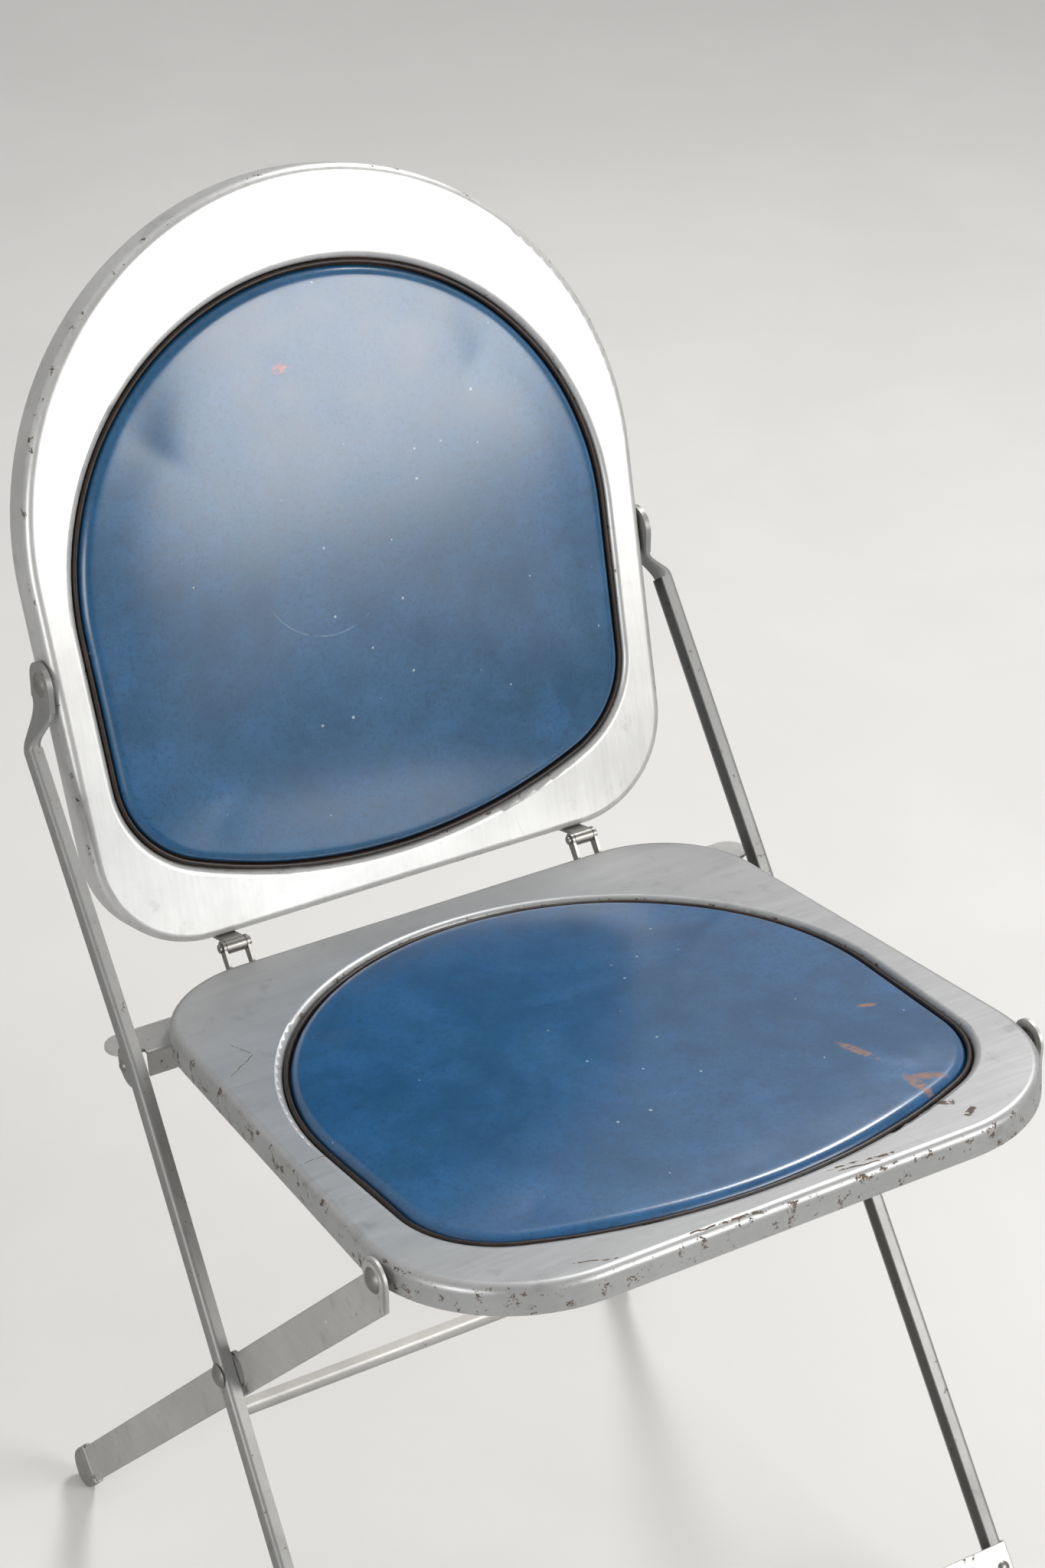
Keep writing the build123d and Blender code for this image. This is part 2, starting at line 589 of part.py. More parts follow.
def stretcher_rivet():
    """Rivet through the strip and the upright's front flange, dome to the front."""
    face = UPRIGHT_WIDTH / 2 + STRETCHER_THICK
    length = STRETCHER_THICK + UPRIGHT_WALL
    rivet = Pos(0, 0, face) * dome(SMALL_HEAD / 2, SMALL_HEAD_HEIGHT)
    rivet += Pos(0, 0, face - length / 2) * Cylinder(SMALL_RIVET / 2, length)
    shop_head = Cylinder(SMALL_RIVET / 2 + 0.4, SHOP_HEAD_HEIGHT)
    rivet += Pos(0, 0, face - length - SHOP_HEAD_HEIGHT / 2) * shop_head
    return stretcher_rivet_place() * Rot(0, -90, 0) * rivet


def boot(radius, cover):
    """Side view of a foot cap: round about the leg's end and straight up the leg."""
    return Circle(radius) + Pos(0, cover / 2) * Rectangle(2 * radius, cover)


def above_floor(shape):
    """The part of a shape that is above the floor."""
    return shape & Pos(0, 0, 500) * Box(2000, 2000, 1000)


def front_cap():
    """Round-ended cap over the upright's lower end, with a small flat on the floor."""
    depth = UPRIGHT_DEPTH + 2 * CAP_WALL
    cap = Plane.XZ * Pos(0, 0, -depth / 2) * extrude(boot(FRONT_CAP_RADIUS, CAP_COVER), depth)
    cap = fillet(edges_at_side(cap, depth / 2), CAP_ROUND)
    room = Pos(0, 0, CAP_COVER) * Box(UPRIGHT_WIDTH, UPRIGHT_DEPTH, 2 * CAP_COVER)
    return above_floor(axis_plane(FOOT_AT, BEND_AT) * (cap - room))


def edges_at_side(shape, y):
    """Edges that lie in a plane at y or at -y."""
    return [e for e in shape.edges() if abs(abs(e.center().Y) - y) < 0.001]


# ---------------------------------------------------------------- rear legs
def leg_point(distance, across=0.0):
    """Side-view point on the rear leg, measured from its top along its centre line."""
    return along(leg_top, leg_way, distance, across)


REAR_CAP_RADIUS = LEG_WIDTH / 2 + CAP_WALL
LEG_LENGTH = (leg_top[1] - REAR_CAP_RADIUS + CAP_FLAT) / -leg_way[1]
CROSSING_DISTANCE = ((crossing_pivot[0] - leg_top[0]) * leg_way[0]
                     + (crossing_pivot[1] - leg_top[1]) * leg_way[1])


def leg_outline(grow=0.0, length=LEG_LENGTH):
    """Side view of the rear leg: straight strip, upright front edge, rounded top about the seat pivot."""
    half = LEG_WIDTH / 2
    front = seat_pivot[0] - LEG_TOP_ROUND - grow
    low = crossing(leg_point(0, half), leg_way, (front, 0.0), (0.0, 1.0))
    points = [leg_point(2, -half), leg_point(length, -half), leg_point(length, half), low,
              (front, seat_pivot[1]), seat_pivot]
    strip = make_face(Polyline(*points, close=True))
    return strip + Pos(*seat_pivot) * Circle(LEG_TOP_ROUND + grow)


def strip_box(from_distance, to_distance, from_across, to_across, x_in, x_out):
    """A block along the rear leg."""
    points = [leg_point(from_distance, from_across), leg_point(to_distance, from_across),
              leg_point(to_distance, to_across), leg_point(from_distance, to_across)]
    return side_plate(x_in, make_face(Polyline(*points, close=True)), x_out - x_in)


BRACE_AT = CROSSING_DISTANCE + BRACE_BELOW_PIVOT
DIMPLES = (CROSSING_DISTANCE * 0.34, LEG_LENGTH - 130.0)


def rear_leg():
    """Right-hand rear leg: flat web, shallow flanges turned inwards, boss and dimples."""
    half = LEG_WIDTH / 2
    inner = LEG_OUT - LEG_FLANGE
    body = side_plate(LEG_IN, leg_outline(), LEG_WALL)
    for side in (-1, 1):
        edge, lip = side * half, side * (half - LEG_WALL)
        body += strip_box(FLANGE_START, LEG_LENGTH, edge, lip, inner, LEG_OUT)
    rim = [e for e in edges_at_x(body, LEG_OUT) if e.length > FLANGE_START]
    body = fillet(rim, LEG_WALL * 0.8)
    body += pin_x(crossing_pivot, BOSS_RADIUS, LEG_IN, LEG_OUT + BOSS_HEIGHT)
    body -= pin_x(crossing_pivot, PIVOT_RIVET / 2 + RUNNING_FIT, inner, LEG_OUT + 2 * BOSS_HEIGHT)
    body -= pin_x(seat_pivot, PIVOT_RIVET / 2, inner, LEG_OUT + 1)
    gap = BRACE_WIDTH / 2 + SIDE_GAP
    body -= strip_box(BRACE_AT - gap, BRACE_AT + gap, half - LEG_WALL - SIDE_GAP, half + 1, inner - 1, LEG_IN)
    for distance in DIMPLES:
        y, z = leg_point(distance)
        body -= Pos(LEG_OUT + DIMPLE_RADIUS * 0.75, y, z) * Sphere(DIMPLE_RADIUS)
    return body


def pivot_plate():
    """Plate behind the leg's top, a little larger than the web round the seat pivot."""
    outline = leg_outline(PLATE_RIM, PLATE_LENGTH)
    plate = side_plate(PLATE_IN, outline, PLATE_THICK)
    return plate - pin_x(seat_pivot, PIVOT_RIVET / 2, PLATE_IN - 1, LEG_IN + 1)


def seat_pivot_parts():
    """Domed rivet and washer at the seat pivot. The shank ends at the washer, clear of the pan."""
    rivet = side_rivet(seat_pivot, PIVOT_RIVET / 2, PIVOT_HEAD, PIVOT_HEAD_HEIGHT, WASHER_IN, LEG_OUT, False)
    washer = pin_x(seat_pivot, PIVOT_RIVET + 1, WASHER_IN, PLATE_IN)
    return rivet, washer - pin_x(seat_pivot, PIVOT_RIVET / 2, WASHER_IN - 1, PLATE_IN + 1)


def brace():
    """Channel bar between the rear legs under the crossing, with end tabs on the webs' inner faces."""
    half = LEG_WIDTH / 2
    angle = degrees(atan2(leg_way[1], leg_way[0]))
    outer = Rectangle(BRACE_WIDTH, BRACE_DEPTH)
    outer = fillet(outer.vertices().group_by(Axis.Y)[0], BRACE_DEPTH * 0.55)
    inner = Pos(0, BRACE_WALL) * Rectangle(BRACE_WIDTH - 2 * BRACE_WALL, BRACE_DEPTH)
    inner = fillet(inner.vertices().group_by(Axis.Y)[0], BRACE_DEPTH * 0.55 - BRACE_WALL)
    place = leg_point(BRACE_AT, half + BRACE_DEPTH / 2)
    section = Pos(*place) * Rot(0, 0, angle) * (outer - inner)
    body = side_plate(-LEG_IN, section, 2 * LEG_IN)
    tab = strip_box(BRACE_AT - BRACE_WIDTH / 4, BRACE_AT + BRACE_WIDTH / 4, -half / 2,
                    half + BRACE_DEPTH - BRACE_WALL / 2, LEG_IN - BRACE_WALL, LEG_IN)
    for piece in both_sides(tab):
        body += piece
    return body


def rear_cap():
    """Round-ended cap over the rear leg's end, with a small flat on the floor."""
    x_in, x_out = LEG_OUT - LEG_FLANGE - CAP_WALL, LEG_OUT + CAP_WALL
    end = leg_point(LEG_LENGTH)
    turn = degrees(atan2(leg_way[1], leg_way[0])) + 90
    cap = side_plate(x_in, Pos(*end) * Rot(0, 0, turn) * boot(REAR_CAP_RADIUS, CAP_COVER), x_out - x_in)
    cap = fillet(edges_at_x(cap, x_out) + edges_at_x(cap, x_in), CAP_ROUND)
    room = strip_box(0, LEG_LENGTH, -LEG_WIDTH / 2, LEG_WIDTH / 2, LEG_OUT - LEG_FLANGE, LEG_OUT)
    return above_floor(cap - room)


# ---------------------------------------------------------------- hook bar and hinges
def seat_side(x, sketch, thick):
    """Extrude a sketch drawn in the seat's own side view (distance behind the front edge, height)."""
    plane = Plane(origin=SEAT_PLANE.origin, x_dir=SEAT_PLANE.y_dir, z_dir=(1, 0, 0))
    return plane * Pos(0, 0, x) * extrude(sketch, thick)


def hook_places():
    """Where the hook bar is riveted to the pan's return: across and behind the front edge."""
    back = SEAT_DEPTH - PAN_RETURN / 2 - 1
    spread = SEAT_REAR_WIDTH / 2 - SEAT_REAR_CORNER
    return [(-spread, back), (-spread / 3, back), (spread / 3, back), (spread, back)]


def hook_bar():
    """Angle bar under the seat's rear edge. Its rounded ears pass behind both uprights."""
    front, top = HOOK_FROM, -SEAT_SKIRT
    outer = Pos(front + HOOK_DEPTH / 2, top - HOOK_HEIGHT / 2) * Rectangle(HOOK_DEPTH, HOOK_HEIGHT)
    inner = Pos(front + HOOK_DEPTH / 2 + HOOK_WALL, top - HOOK_HEIGHT / 2 - HOOK_WALL)
    section = outer - inner * Rectangle(HOOK_DEPTH, HOOK_HEIGHT)
    corner = section.vertices().group_by(Axis.X)[0].sort_by(Axis.Y)[-1]
    section = fillet(corner, HOOK_WALL * 0.9)
    body = seat_side(-HOOK_HALF_WIDTH, section, 2 * HOOK_HALF_WIDTH)
    tip = UPRIGHT_TOP_X + UPRIGHT_DEPTH / 2 + HOOK_OVERHANG
    ears = RectangleRounded(2 * tip, HOOK_EAR_DEPTH, HOOK_EAR_DEPTH * 0.49)
    plate = Pos(0, front + HOOK_EAR_INSET + HOOK_EAR_DEPTH / 2) * ears
    tongue = Rectangle(SEAT_REAR_WIDTH - SEAT_REAR_CORNER, HOOK_TONGUE_DEPTH - HOOK_WALL)
    plate += Pos(0, front + (HOOK_TONGUE_DEPTH + HOOK_WALL) / 2) * tongue
    body += SEAT_PLANE * Pos(0, 0, top - HOOK_WALL) * extrude(plate, HOOK_WALL)
    for x, y in hook_places():
        body -= SEAT_PLANE * Pos(x, y, top) * Cylinder(SMALL_RIVET / 2, 4 * HOOK_WALL)
    return body


def hook_rivets():
    """Rivets up through the hook bar and the pan's return."""
    top = -SEAT_SKIRT - HOOK_WALL
    length = HOOK_WALL + PAN_WALL
    rivets = []
    for x, y in hook_places():
        rivet = Pos(x, y, top + length / 2) * Cylinder(SMALL_RIVET / 2, length)
        rivet += Pos(x, y, top) * Rot(180, 0, 0) * dome(SMALL_HEAD / 2, SMALL_HEAD_HEIGHT)
        shop_head = Cylinder(SMALL_HEAD / 2 - 1, SHOP_HEAD_HEIGHT)
        rivet += Pos(x, y, top + length + SHOP_HEAD_HEIGHT / 2) * shop_head
        rivets.append(SEAT_PLANE * rivet)
    return rivets


def hinge_bracket():
    """Right-hand seat hinge bracket: a base on the rear skirt and two ears round the lug."""
    middle = HINGE_SPACING / 2
    inner = LUG_WIDTH / 2 + SIDE_GAP
    hinge_at = (SEAT_DEPTH + HINGE_BEHIND_SEAT, HINGE_ABOVE_SEAT)
    low, high = -SEAT_SKIRT + PAN_WALL, -PAN_BEND - 1
    back = SEAT_DEPTH + BRACKET_WALL
    points = [(SEAT_DEPTH, low), (back, low), (hinge_at[0] + KNUCKLE_RADIUS, hinge_at[1]), hinge_at,
              (hinge_at[0] - KNUCKLE_RADIUS, hinge_at[1]), (SEAT_DEPTH, high)]
    ear = make_face(Polyline(*points, close=True)) + Pos(*hinge_at) * Circle(KNUCKLE_RADIUS)
    ear -= Pos(*hinge_at) * Circle(PIN_DIAMETER / 2)
    body = seat_side(middle - inner - BRACKET_WALL, ear, BRACKET_WALL)
    body += seat_side(middle + inner, ear, BRACKET_WALL)
    base = Pos(SEAT_DEPTH + BRACKET_WALL / 2, (low + high) / 2) * Rectangle(BRACKET_WALL, high - low)
    body += seat_side(middle - inner - BRACKET_WALL, base, 2 * (inner + BRACKET_WALL))
    return body - bracket_rivet_hole()


def bracket_rivet_place():
    """Where a bracket rivet goes through the seat pan's rear skirt, its z axis to the rear."""
    height = (-SEAT_SKIRT + PAN_WALL - PAN_BEND - 1) / 2
    return SEAT_PLANE * Pos(HINGE_SPACING / 2, SEAT_DEPTH, height) * Rot(-90, 0, 0)


def bracket_rivet_hole():
    """Hole for the bracket rivet through bracket and pan."""
    return bracket_rivet_place() * Cylinder(SMALL_RIVET / 2, 6 * BRACKET_WALL)


def bracket_rivet():
    """Rivet through the hinge bracket's base and the seat pan's rear skirt."""
    length = BRACKET_WALL + PAN_WALL
    rivet = Pos(0, 0, BRACKET_WALL - length / 2) * Cylinder(SMALL_RIVET / 2, length)
    rivet += Pos(0, 0, BRACKET_WALL) * dome(SMALL_HEAD / 2 - 1, SMALL_HEAD_HEIGHT)
    rivet += Pos(0, 0, BRACKET_WALL - length - SHOP_HEAD_HEIGHT / 2) * Cylinder(
        SMALL_HEAD / 2 - 1, SHOP_HEAD_HEIGHT)
    return bracket_rivet_place() * rivet


def hinge_pin():
    """Right-hand hinge pin, fixed in the bracket's ears."""
    half = LUG_WIDTH / 2 + SIDE_GAP + 2 * BRACKET_WALL
    middle = HINGE_SPACING / 2
    return pin_x(hinge, PIN_DIAMETER / 2, middle - half, middle + half)


def hinge_lug():
    """Right-hand lug: a strip under the back pan, curled round the hinge pin."""
    across = HINGE_SPACING / 2 - LUG_WIDTH / 2
    hinge_at = (-KNUCKLE_RADIUS, HINGE_BEFORE_BACK)
    ring = Pos(*hinge_at) * (Circle(KNUCKLE_RADIUS) - Circle(PIN_DIAMETER / 2 + RUNNING_FIT))
    length = BACK_SKIRT - 2 + HINGE_BEFORE_BACK
    tail = Pos(-LUG_WALL / 2, HINGE_BEFORE_BACK - length / 2) * Rectangle(LUG_WALL, length)
    tail -= Pos(*hinge_at) * Circle(KNUCKLE_RADIUS - LUG_WALL / 2)
    plane = Plane(origin=BACK_PLANE.origin, x_dir=BACK_PLANE.y_dir, z_dir=(1, 0, 0))
    body = plane * Pos(0, 0, across) * extrude(ring + tail, LUG_WIDTH)
    return body - lug_rivet_hole()


def lug_rivet_place():
    """Where the lug rivet goes through the back pan."""
    return BACK_PLANE * Pos(HINGE_SPACING / 2, 0, -LUG_RIVET_BACK) * Rot(90, 0, 0)


def lug_rivet_hole():
    """Hole for the lug rivet through lug and pan."""
    return lug_rivet_place() * Cylinder(SMALL_RIVET / 2, 6 * LUG_WALL)


def lug_rivet():
    """Rivet through the lug and the back pan's lower skirt."""
    length = LUG_WALL + PAN_WALL
    rivet = Pos(0, 0, LUG_WALL - length / 2) * Cylinder(SMALL_RIVET / 2, length)
    rivet += Pos(0, 0, LUG_WALL) * dome(SMALL_HEAD / 2, SMALL_HEAD_HEIGHT)
    shop_head = Cylinder(SMALL_HEAD / 2 - 1, SHOP_HEAD_HEIGHT)
    rivet += Pos(0, 0, LUG_WALL - length - SHOP_HEAD_HEIGHT / 2) * shop_head
    return lug_rivet_place() * rivet


# ---------------------------------------------------------------- assembly
def nodes():
    """Every named piece of the chair."""
    out = {}
    seat = cushion(SEAT_PLANE, seat_outline(), seat_opening(), SEAT_PAD_CROWN, SEAT_SKIRT,
                   clip_spots(seat_half_width(SEAT_DEPTH / 2), SEAT_DEPTH, SEAT_OPENING_RADIUS,
                              SEAT_FRONT_MARGIN, SEAT_REAR_MARGIN))
    back = cushion(BACK_PLANE, back_outline(), back_opening(), BACK_PAD_CROWN, BACK_SKIRT,
                   clip_spots(back_half_width(BACK_HEIGHT / 2), BACK_HEIGHT, BACK_OPENING_RADIUS,
                              BACK_BOTTOM_MARGIN, BACK_TOP_MARGIN))
    for name, made in (("seat", seat), ("back", back)):
        for piece in ("pan", "pad", "welt", "board"):
            out[f"{name}_{piece}"] = made[piece]
        out[f"{name}_board_clips"] = Compound(made["clips"])
        out[f"{name}_board_screws"] = Compound(made["screws"])
    for pivot in both_sides(pin_x(seat_pivot, PIVOT_RIVET / 2 + 1, WASHER_IN - 8, WASHER_IN + 1)):
        out["seat_pan"] -= pivot
    for x, y in hook_places():
        out["seat_pan"] -= SEAT_PLANE * Pos(x, y, -SEAT_SKIRT) * Cylinder(SMALL_RIVET / 2, 4 * PAN_WALL)
    for pivot in both_sides(pin_x(back_pivot, PIVOT_RIVET / 2 + RUNNING_FIT, TAB_IN - 8, TAB_IN + 1)):
        out["back_pan"] -= pivot
    for hole in both_sides(lug_rivet_hole()):
        out["back_pan"] -= hole
    for hole in both_sides(bracket_rivet_hole()):
        out["seat_pan"] -= hole

    crossing_rivet, crossing_spacer = crossing_parts()
    back_rivet, back_washer = back_pivot_parts()
    seat_rivet, seat_washer = seat_pivot_parts()
    handed = {"upright": upright(), "front_foot_cap": front_cap(), "rear_leg": rear_leg(),
              "pivot_plate": pivot_plate(), "rear_foot_cap": rear_cap(),
              "seat_hinge_bracket": hinge_bracket(), "hinge_lug": hinge_lug()}
    for name, shape in handed.items():
        out[f"right_{name}"], out[f"left_{name}"] = both_sides(shape)
    pairs = {"crossing_pivot_rivets": crossing_rivet, "crossing_spacers": crossing_spacer,
             "back_pivot_rivets": back_rivet, "back_pivot_washers": back_washer,
             "seat_pivot_rivets": seat_rivet, "seat_pivot_washers": seat_washer,
             "stop_rivets": stop_rivet(), "stretcher_rivets": stretcher_rivet(),
             "hinge_pins": hinge_pin(), "lug_rivets": lug_rivet(), "bracket_rivets": bracket_rivet()}
    for name, shape in pairs.items():
        out[name] = Compound(both_sides(shape))
    out["foot_stretcher"] = stretcher()
    out["rear_brace"] = brace()
    out["hook_bar"] = hook_bar()
    out["hook_bar_rivets"] = Compound(hook_rivets())
    return out


if __name__ == "__main__":
    os.makedirs("parts", exist_ok=True)
    for name, shape in nodes().items():
        export_step(shape, f"parts/{name}.step")
    for label, point in (("crossing pivot", crossing_pivot), ("seat pivot", seat_pivot),
                         ("back pivot", back_pivot), ("hinge", hinge)):
        print(label, "y", round(point[0], 2), "z", round(point[1], 2))
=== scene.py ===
import math

import bpy
import numpy as np
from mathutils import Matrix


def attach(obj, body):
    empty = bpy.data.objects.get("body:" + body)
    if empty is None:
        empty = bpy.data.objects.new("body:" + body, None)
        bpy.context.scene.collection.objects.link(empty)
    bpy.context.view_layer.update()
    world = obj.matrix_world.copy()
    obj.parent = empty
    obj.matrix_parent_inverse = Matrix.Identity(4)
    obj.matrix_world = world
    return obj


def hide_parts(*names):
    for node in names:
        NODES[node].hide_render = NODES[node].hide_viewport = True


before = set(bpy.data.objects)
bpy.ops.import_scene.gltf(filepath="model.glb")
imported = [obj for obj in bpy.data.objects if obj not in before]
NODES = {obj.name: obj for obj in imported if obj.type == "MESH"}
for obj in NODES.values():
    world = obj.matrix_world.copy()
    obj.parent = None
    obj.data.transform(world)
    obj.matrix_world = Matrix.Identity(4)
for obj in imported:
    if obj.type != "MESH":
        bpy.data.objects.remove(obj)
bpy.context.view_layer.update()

MM = 0.001

# ---------------------------------------------------------------- the planes of the seat and the back
# origin (m) and tilt place the plane; its opening has a radius for the round end, a length and a distance
# from the pan's near edge (mm); its pad is as high as crown in the middle and as edge at the rim (mm).
SEAT = {"origin": np.array([0.0, -264.9165, 452.0]) * MM, "tilt": math.radians(-5.5),
        "radius": 170.0, "length": 331.0, "margin": 17.0, "crown": 4.0, "edge": 1.0}
BACK = {"origin": np.array([0.0, 128.2347, 422.5071]) * MM, "tilt": math.radians(90.0 - 16.6),
        "radius": 167.5, "length": 339.0, "margin": 19.0, "crown": 5.9, "edge": 1.2}
OPENING_TAPER = math.radians(2.0)
OPENING_CORNER = 62.0       # radius of the two corners, mm
OPENING_BOW = 330.0         # radius of the shallow arc at the near end, mm
ARC_STEPS = 400

# Pads, in mm: gap to the opening's edge, radius of the rolled rim, height of the underside.
PAD_INSET = 4.0
PAD_ROLL = 5.0
PAD_FLOOR = -7.95
PAD_GRID = 73               # points along a side of the square grid
ROLL_STEPS = 6              # rows of quads round the rolled rim
SWELL_PRESSURE = 4.0
SWELL_FRAMES = 20
SWELL_CAP = 1.2 * MM        # the most the skin may move
EVENING_PASSES = 120
EVENING_SHARE = 0.6         # share of the neighbours' movement in each pass

# Welts, in mm: middle of the section outside the opening's edge, half its width, top and underside.
WELT_MIDDLE = 2.0
WELT_HALF_WIDTH = 1.5
WELT_TOP = -1.3
WELT_FLOOR = -7.8
WELT_ROUNDNESS = 0.7        # 1 is an ellipse, less is closer to a rectangle
WELT_LENGTHWISE = 360
WELT_AROUND = 14


def turned(tilt):
    """Rotation about X by an angle, as a matrix."""
    c, s = math.cos(tilt), math.sin(tilt)
    return np.array([[1, 0, 0], [0, c, -s], [0, s, c]])


def placed(points, plane):
    """Points of a plane's own frame, in mm, as metres of the chair."""
    return points * MM @ turned(plane["tilt"]).T + plane["origin"]


def opening_path(plane, inset, count):
    """Closed outline of an opening, moved inwards by inset: evenly spaced points, anticlockwise.
    A large arc closes the far end, straight sides taper towards a shallow arc, and equal arcs turn the
    corners."""
    t = OPENING_TAPER
    top = np.array([0.0, plane["length"] - plane["radius"]])
    bow = np.array([0.0, OPENING_BOW])
    normal, way = np.array([math.cos(t), -math.sin(t)]), np.array([-math.sin(t), -math.cos(t)])
    start = top + (plane["radius"] - OPENING_CORNER) * normal
    gap = start - bow
    b, c = gap @ way, gap @ gap - (OPENING_BOW - OPENING_CORNER) ** 2
    corner = start + (-b + math.sqrt(b * b - c)) * way
    down = math.atan2(*(corner - bow)[::-1])

    def arc(centre, radius, begin, end):
        angle = np.linspace(begin, end, ARC_STEPS)
        return centre + (radius - inset) * np.stack([np.cos(angle), np.sin(angle)], 1)

    mirrored = corner * (-1, 1)
    loop = np.concatenate([
        arc(top, plane["radius"], -t, math.pi + t),
        arc(mirrored, OPENING_CORNER, math.pi + t, math.pi - down),
        arc(bow, OPENING_BOW, math.pi - down, 2 * math.pi + down),
        arc(corner, OPENING_CORNER, down, -t)])
    loop = np.concatenate([loop, loop[:1]])
    run = np.concatenate([[0], np.cumsum(np.linalg.norm(np.diff(loop, axis=0), axis=1))])
    at = np.linspace(0, run[-1], count, endpoint=False)
    path = np.stack([np.interp(at, run, loop[:, 0]), np.interp(at, run, loop[:, 1])], 1)
    return path + (0.0, plane["margin"])


def mesh_object(name, points, faces, material):
    """A smooth mesh object at the origin from points in metres and an array of quads."""
    mesh = bpy.data.meshes.new(name)
    mesh.from_pydata(points.tolist(), [], faces.tolist())
    mesh.validate()
    mesh.polygons.foreach_set("use_smooth", [True] * len(mesh.polygons))
    mesh.materials.append(material)
    made = bpy.data.objects.new(name, mesh)
    bpy.context.scene.collection.objects.link(made)
    return made


def strip_faces(rows, columns, closed=True):
    """Quads between rows of points, each row a closed ring unless told otherwise."""
    r, c = np.meshgrid(np.arange(rows - 1), np.arange(columns if closed else columns - 1), indexing="ij")
    here, above = r * columns, (r + 1) * columns
    n = (c + 1) % columns
    return np.stack([here + c, here + n, above + n, above + c], -1).reshape(-1, 4)


# ---------------------------------------------------------------- pads
def square_grid(count):
    """A square grid from -1 to 1: for each point its share of the way out, and its place round the square
    (0 to 1)."""
    u, v = np.meshgrid(np.linspace(-1, 1, count), np.linspace(-1, 1, count), indexing="ij")
    out = np.maximum(abs(u), abs(v))
    safe = np.where(out > 0, out, 1)
    a, b = u / safe, v / safe
    turn = np.where(a >= abs(b), b + 1, np.where(b >= abs(a), 3 - a, np.where(-a >= abs(b), 5 - b, 7 + a)))
    return out, turn / 8


def ring_of_grid(count):
    """Indices of a square grid's border, anticlockwise from its lower right corner."""
    n, i = count - 1, np.arange(count - 1)
    right, top = n * count + i, (n - i) * count + n
    left, bottom = n - i, i * count
    return np.concatenate([right, top, left, bottom])


def pad_mesh(plane):
    """Closed pad in its plane's own frame, in mm. The face is a low dome: edge + (crown - edge)(1 - s squared),
    where s goes from 0 in the middle to 1 at the rim. A quarter circle rolls the rim down to straight sides."""
    crown, edge, count = plane["crown"], plane["edge"], PAD_GRID
    border = 4 * (count - 1)
    share, turn = square_grid(count)

    def spread(path):
        middle = path.mean(0)
        loop = np.concatenate([path, path[:1]])
        at = (turn - 0.125) % 1.0 * border
        x = np.interp(at, np.arange(border + 1), loop[:, 0])
        y = np.interp(at, np.arange(border + 1), loop[:, 1])
        return middle[0] + share * (x - middle[0]), middle[1] + share * (y - middle[1])

    x, y = spread(opening_path(plane, PAD_INSET + PAD_ROLL, border))
    face = np.stack([x, y, edge + (crown - edge) * (1 - share ** 2)], -1).reshape(-1, 3)
    rows = []
    for angle in np.linspace(0, math.pi / 2, ROLL_STEPS + 1)[1:]:
        inset = PAD_INSET + PAD_ROLL * (1 - math.sin(angle))
        path = np.roll(opening_path(plane, inset, border), (count - 1) // 2, 0)
        rows.append(np.column_stack([path, np.full(border, edge - PAD_ROLL * (1 - math.cos(angle)))]))
    halfway = (edge - PAD_ROLL + PAD_FLOOR) / 2
    rows.append(np.column_stack([rows[-1][:, :2], np.full(border, halfway)]))
    x, y = spread(opening_path(plane, PAD_INSET, border))
    under = np.stack([x, y, np.full_like(x, PAD_FLOOR)], -1).reshape(-1, 3)
    ring = ring_of_grid(count)
    points = np.concatenate([face] + rows + [under])
    i, j = np.meshgrid(np.arange(count - 1), np.arange(count - 1), indexing="ij")
    a = (i * count + j).ravel()
    quads = np.stack([a, a + count, a + count + 1, a + 1], 1)
    base = len(face) + len(rows) * border
    sides = len(face) + np.arange(len(rows) * border).reshape(-1, border)
    loops = np.concatenate([[ring], sides, [base + ring]])
    onward = np.roll(loops, -1, 1)
    wall = np.stack([loops[:-1], loops[1:], onward[1:], onward[:-1]], -1).reshape(-1, 4)
    return points, np.concatenate([quads, wall, (quads + base)[:, ::-1]])


def swell(pad, points, fixed):
    """Let the pad swell under pressure with its sides and underside held. The movement is evened out over its
    neighbours, because the skin is tight, and softly capped: move * cap / sqrt(cap squared + move squared)."""
    rest = np.array(points)
    group = pad.vertex_groups.new(name="held")
    group.add(np.nonzero(fixed)[0].tolist(), 1.0, "REPLACE")
    cloth = pad.modifiers.new("cloth", "CLOTH")
    cloth.settings.vertex_group_mass = "held"
    cloth.settings.use_pressure = True
    cloth.settings.uniform_pressure_force = SWELL_PRESSURE
    cloth.settings.effector_weights.gravity = 0.0
    cloth.settings.quality = 5
    cloth.collision_settings.use_collision = False
    scene = bpy.context.scene
    for number in range(1, SWELL_FRAMES + 1):
        scene.frame_set(number)
    shape = pad.evaluated_get(bpy.context.evaluated_depsgraph_get()).data
    moved = np.empty(len(rest) * 3, np.float32)
    shape.vertices.foreach_get("co", moved)
    move = moved.reshape(-1, 3) - rest
    edges = np.empty(len(pad.data.edges) * 2, np.int32)
    pad.data.edges.foreach_get("vertices", edges)
    a, b = edges.reshape(-1, 2).T
    count = np.bincount(edges, minlength=len(rest))[:, None]
    for _ in range(EVENING_PASSES):
        total = np.stack([np.bincount(a, move[b, k], len(rest)) + np.bincount(b, move[a, k], len(rest))
                          for k in range(3)], 1)
        move = np.where(fixed[:, None], 0.0, (1 - EVENING_SHARE) * move + EVENING_SHARE * total / count)
    size = np.linalg.norm(move, axis=1, keepdims=True)
    pad.modifiers.remove(cloth)
    scene.frame_set(1)
    capped = move * SWELL_CAP / np.sqrt(SWELL_CAP ** 2 + size * size)
    pad.data.vertices.foreach_set("co", (rest + capped).ravel())
    pad.data.update()


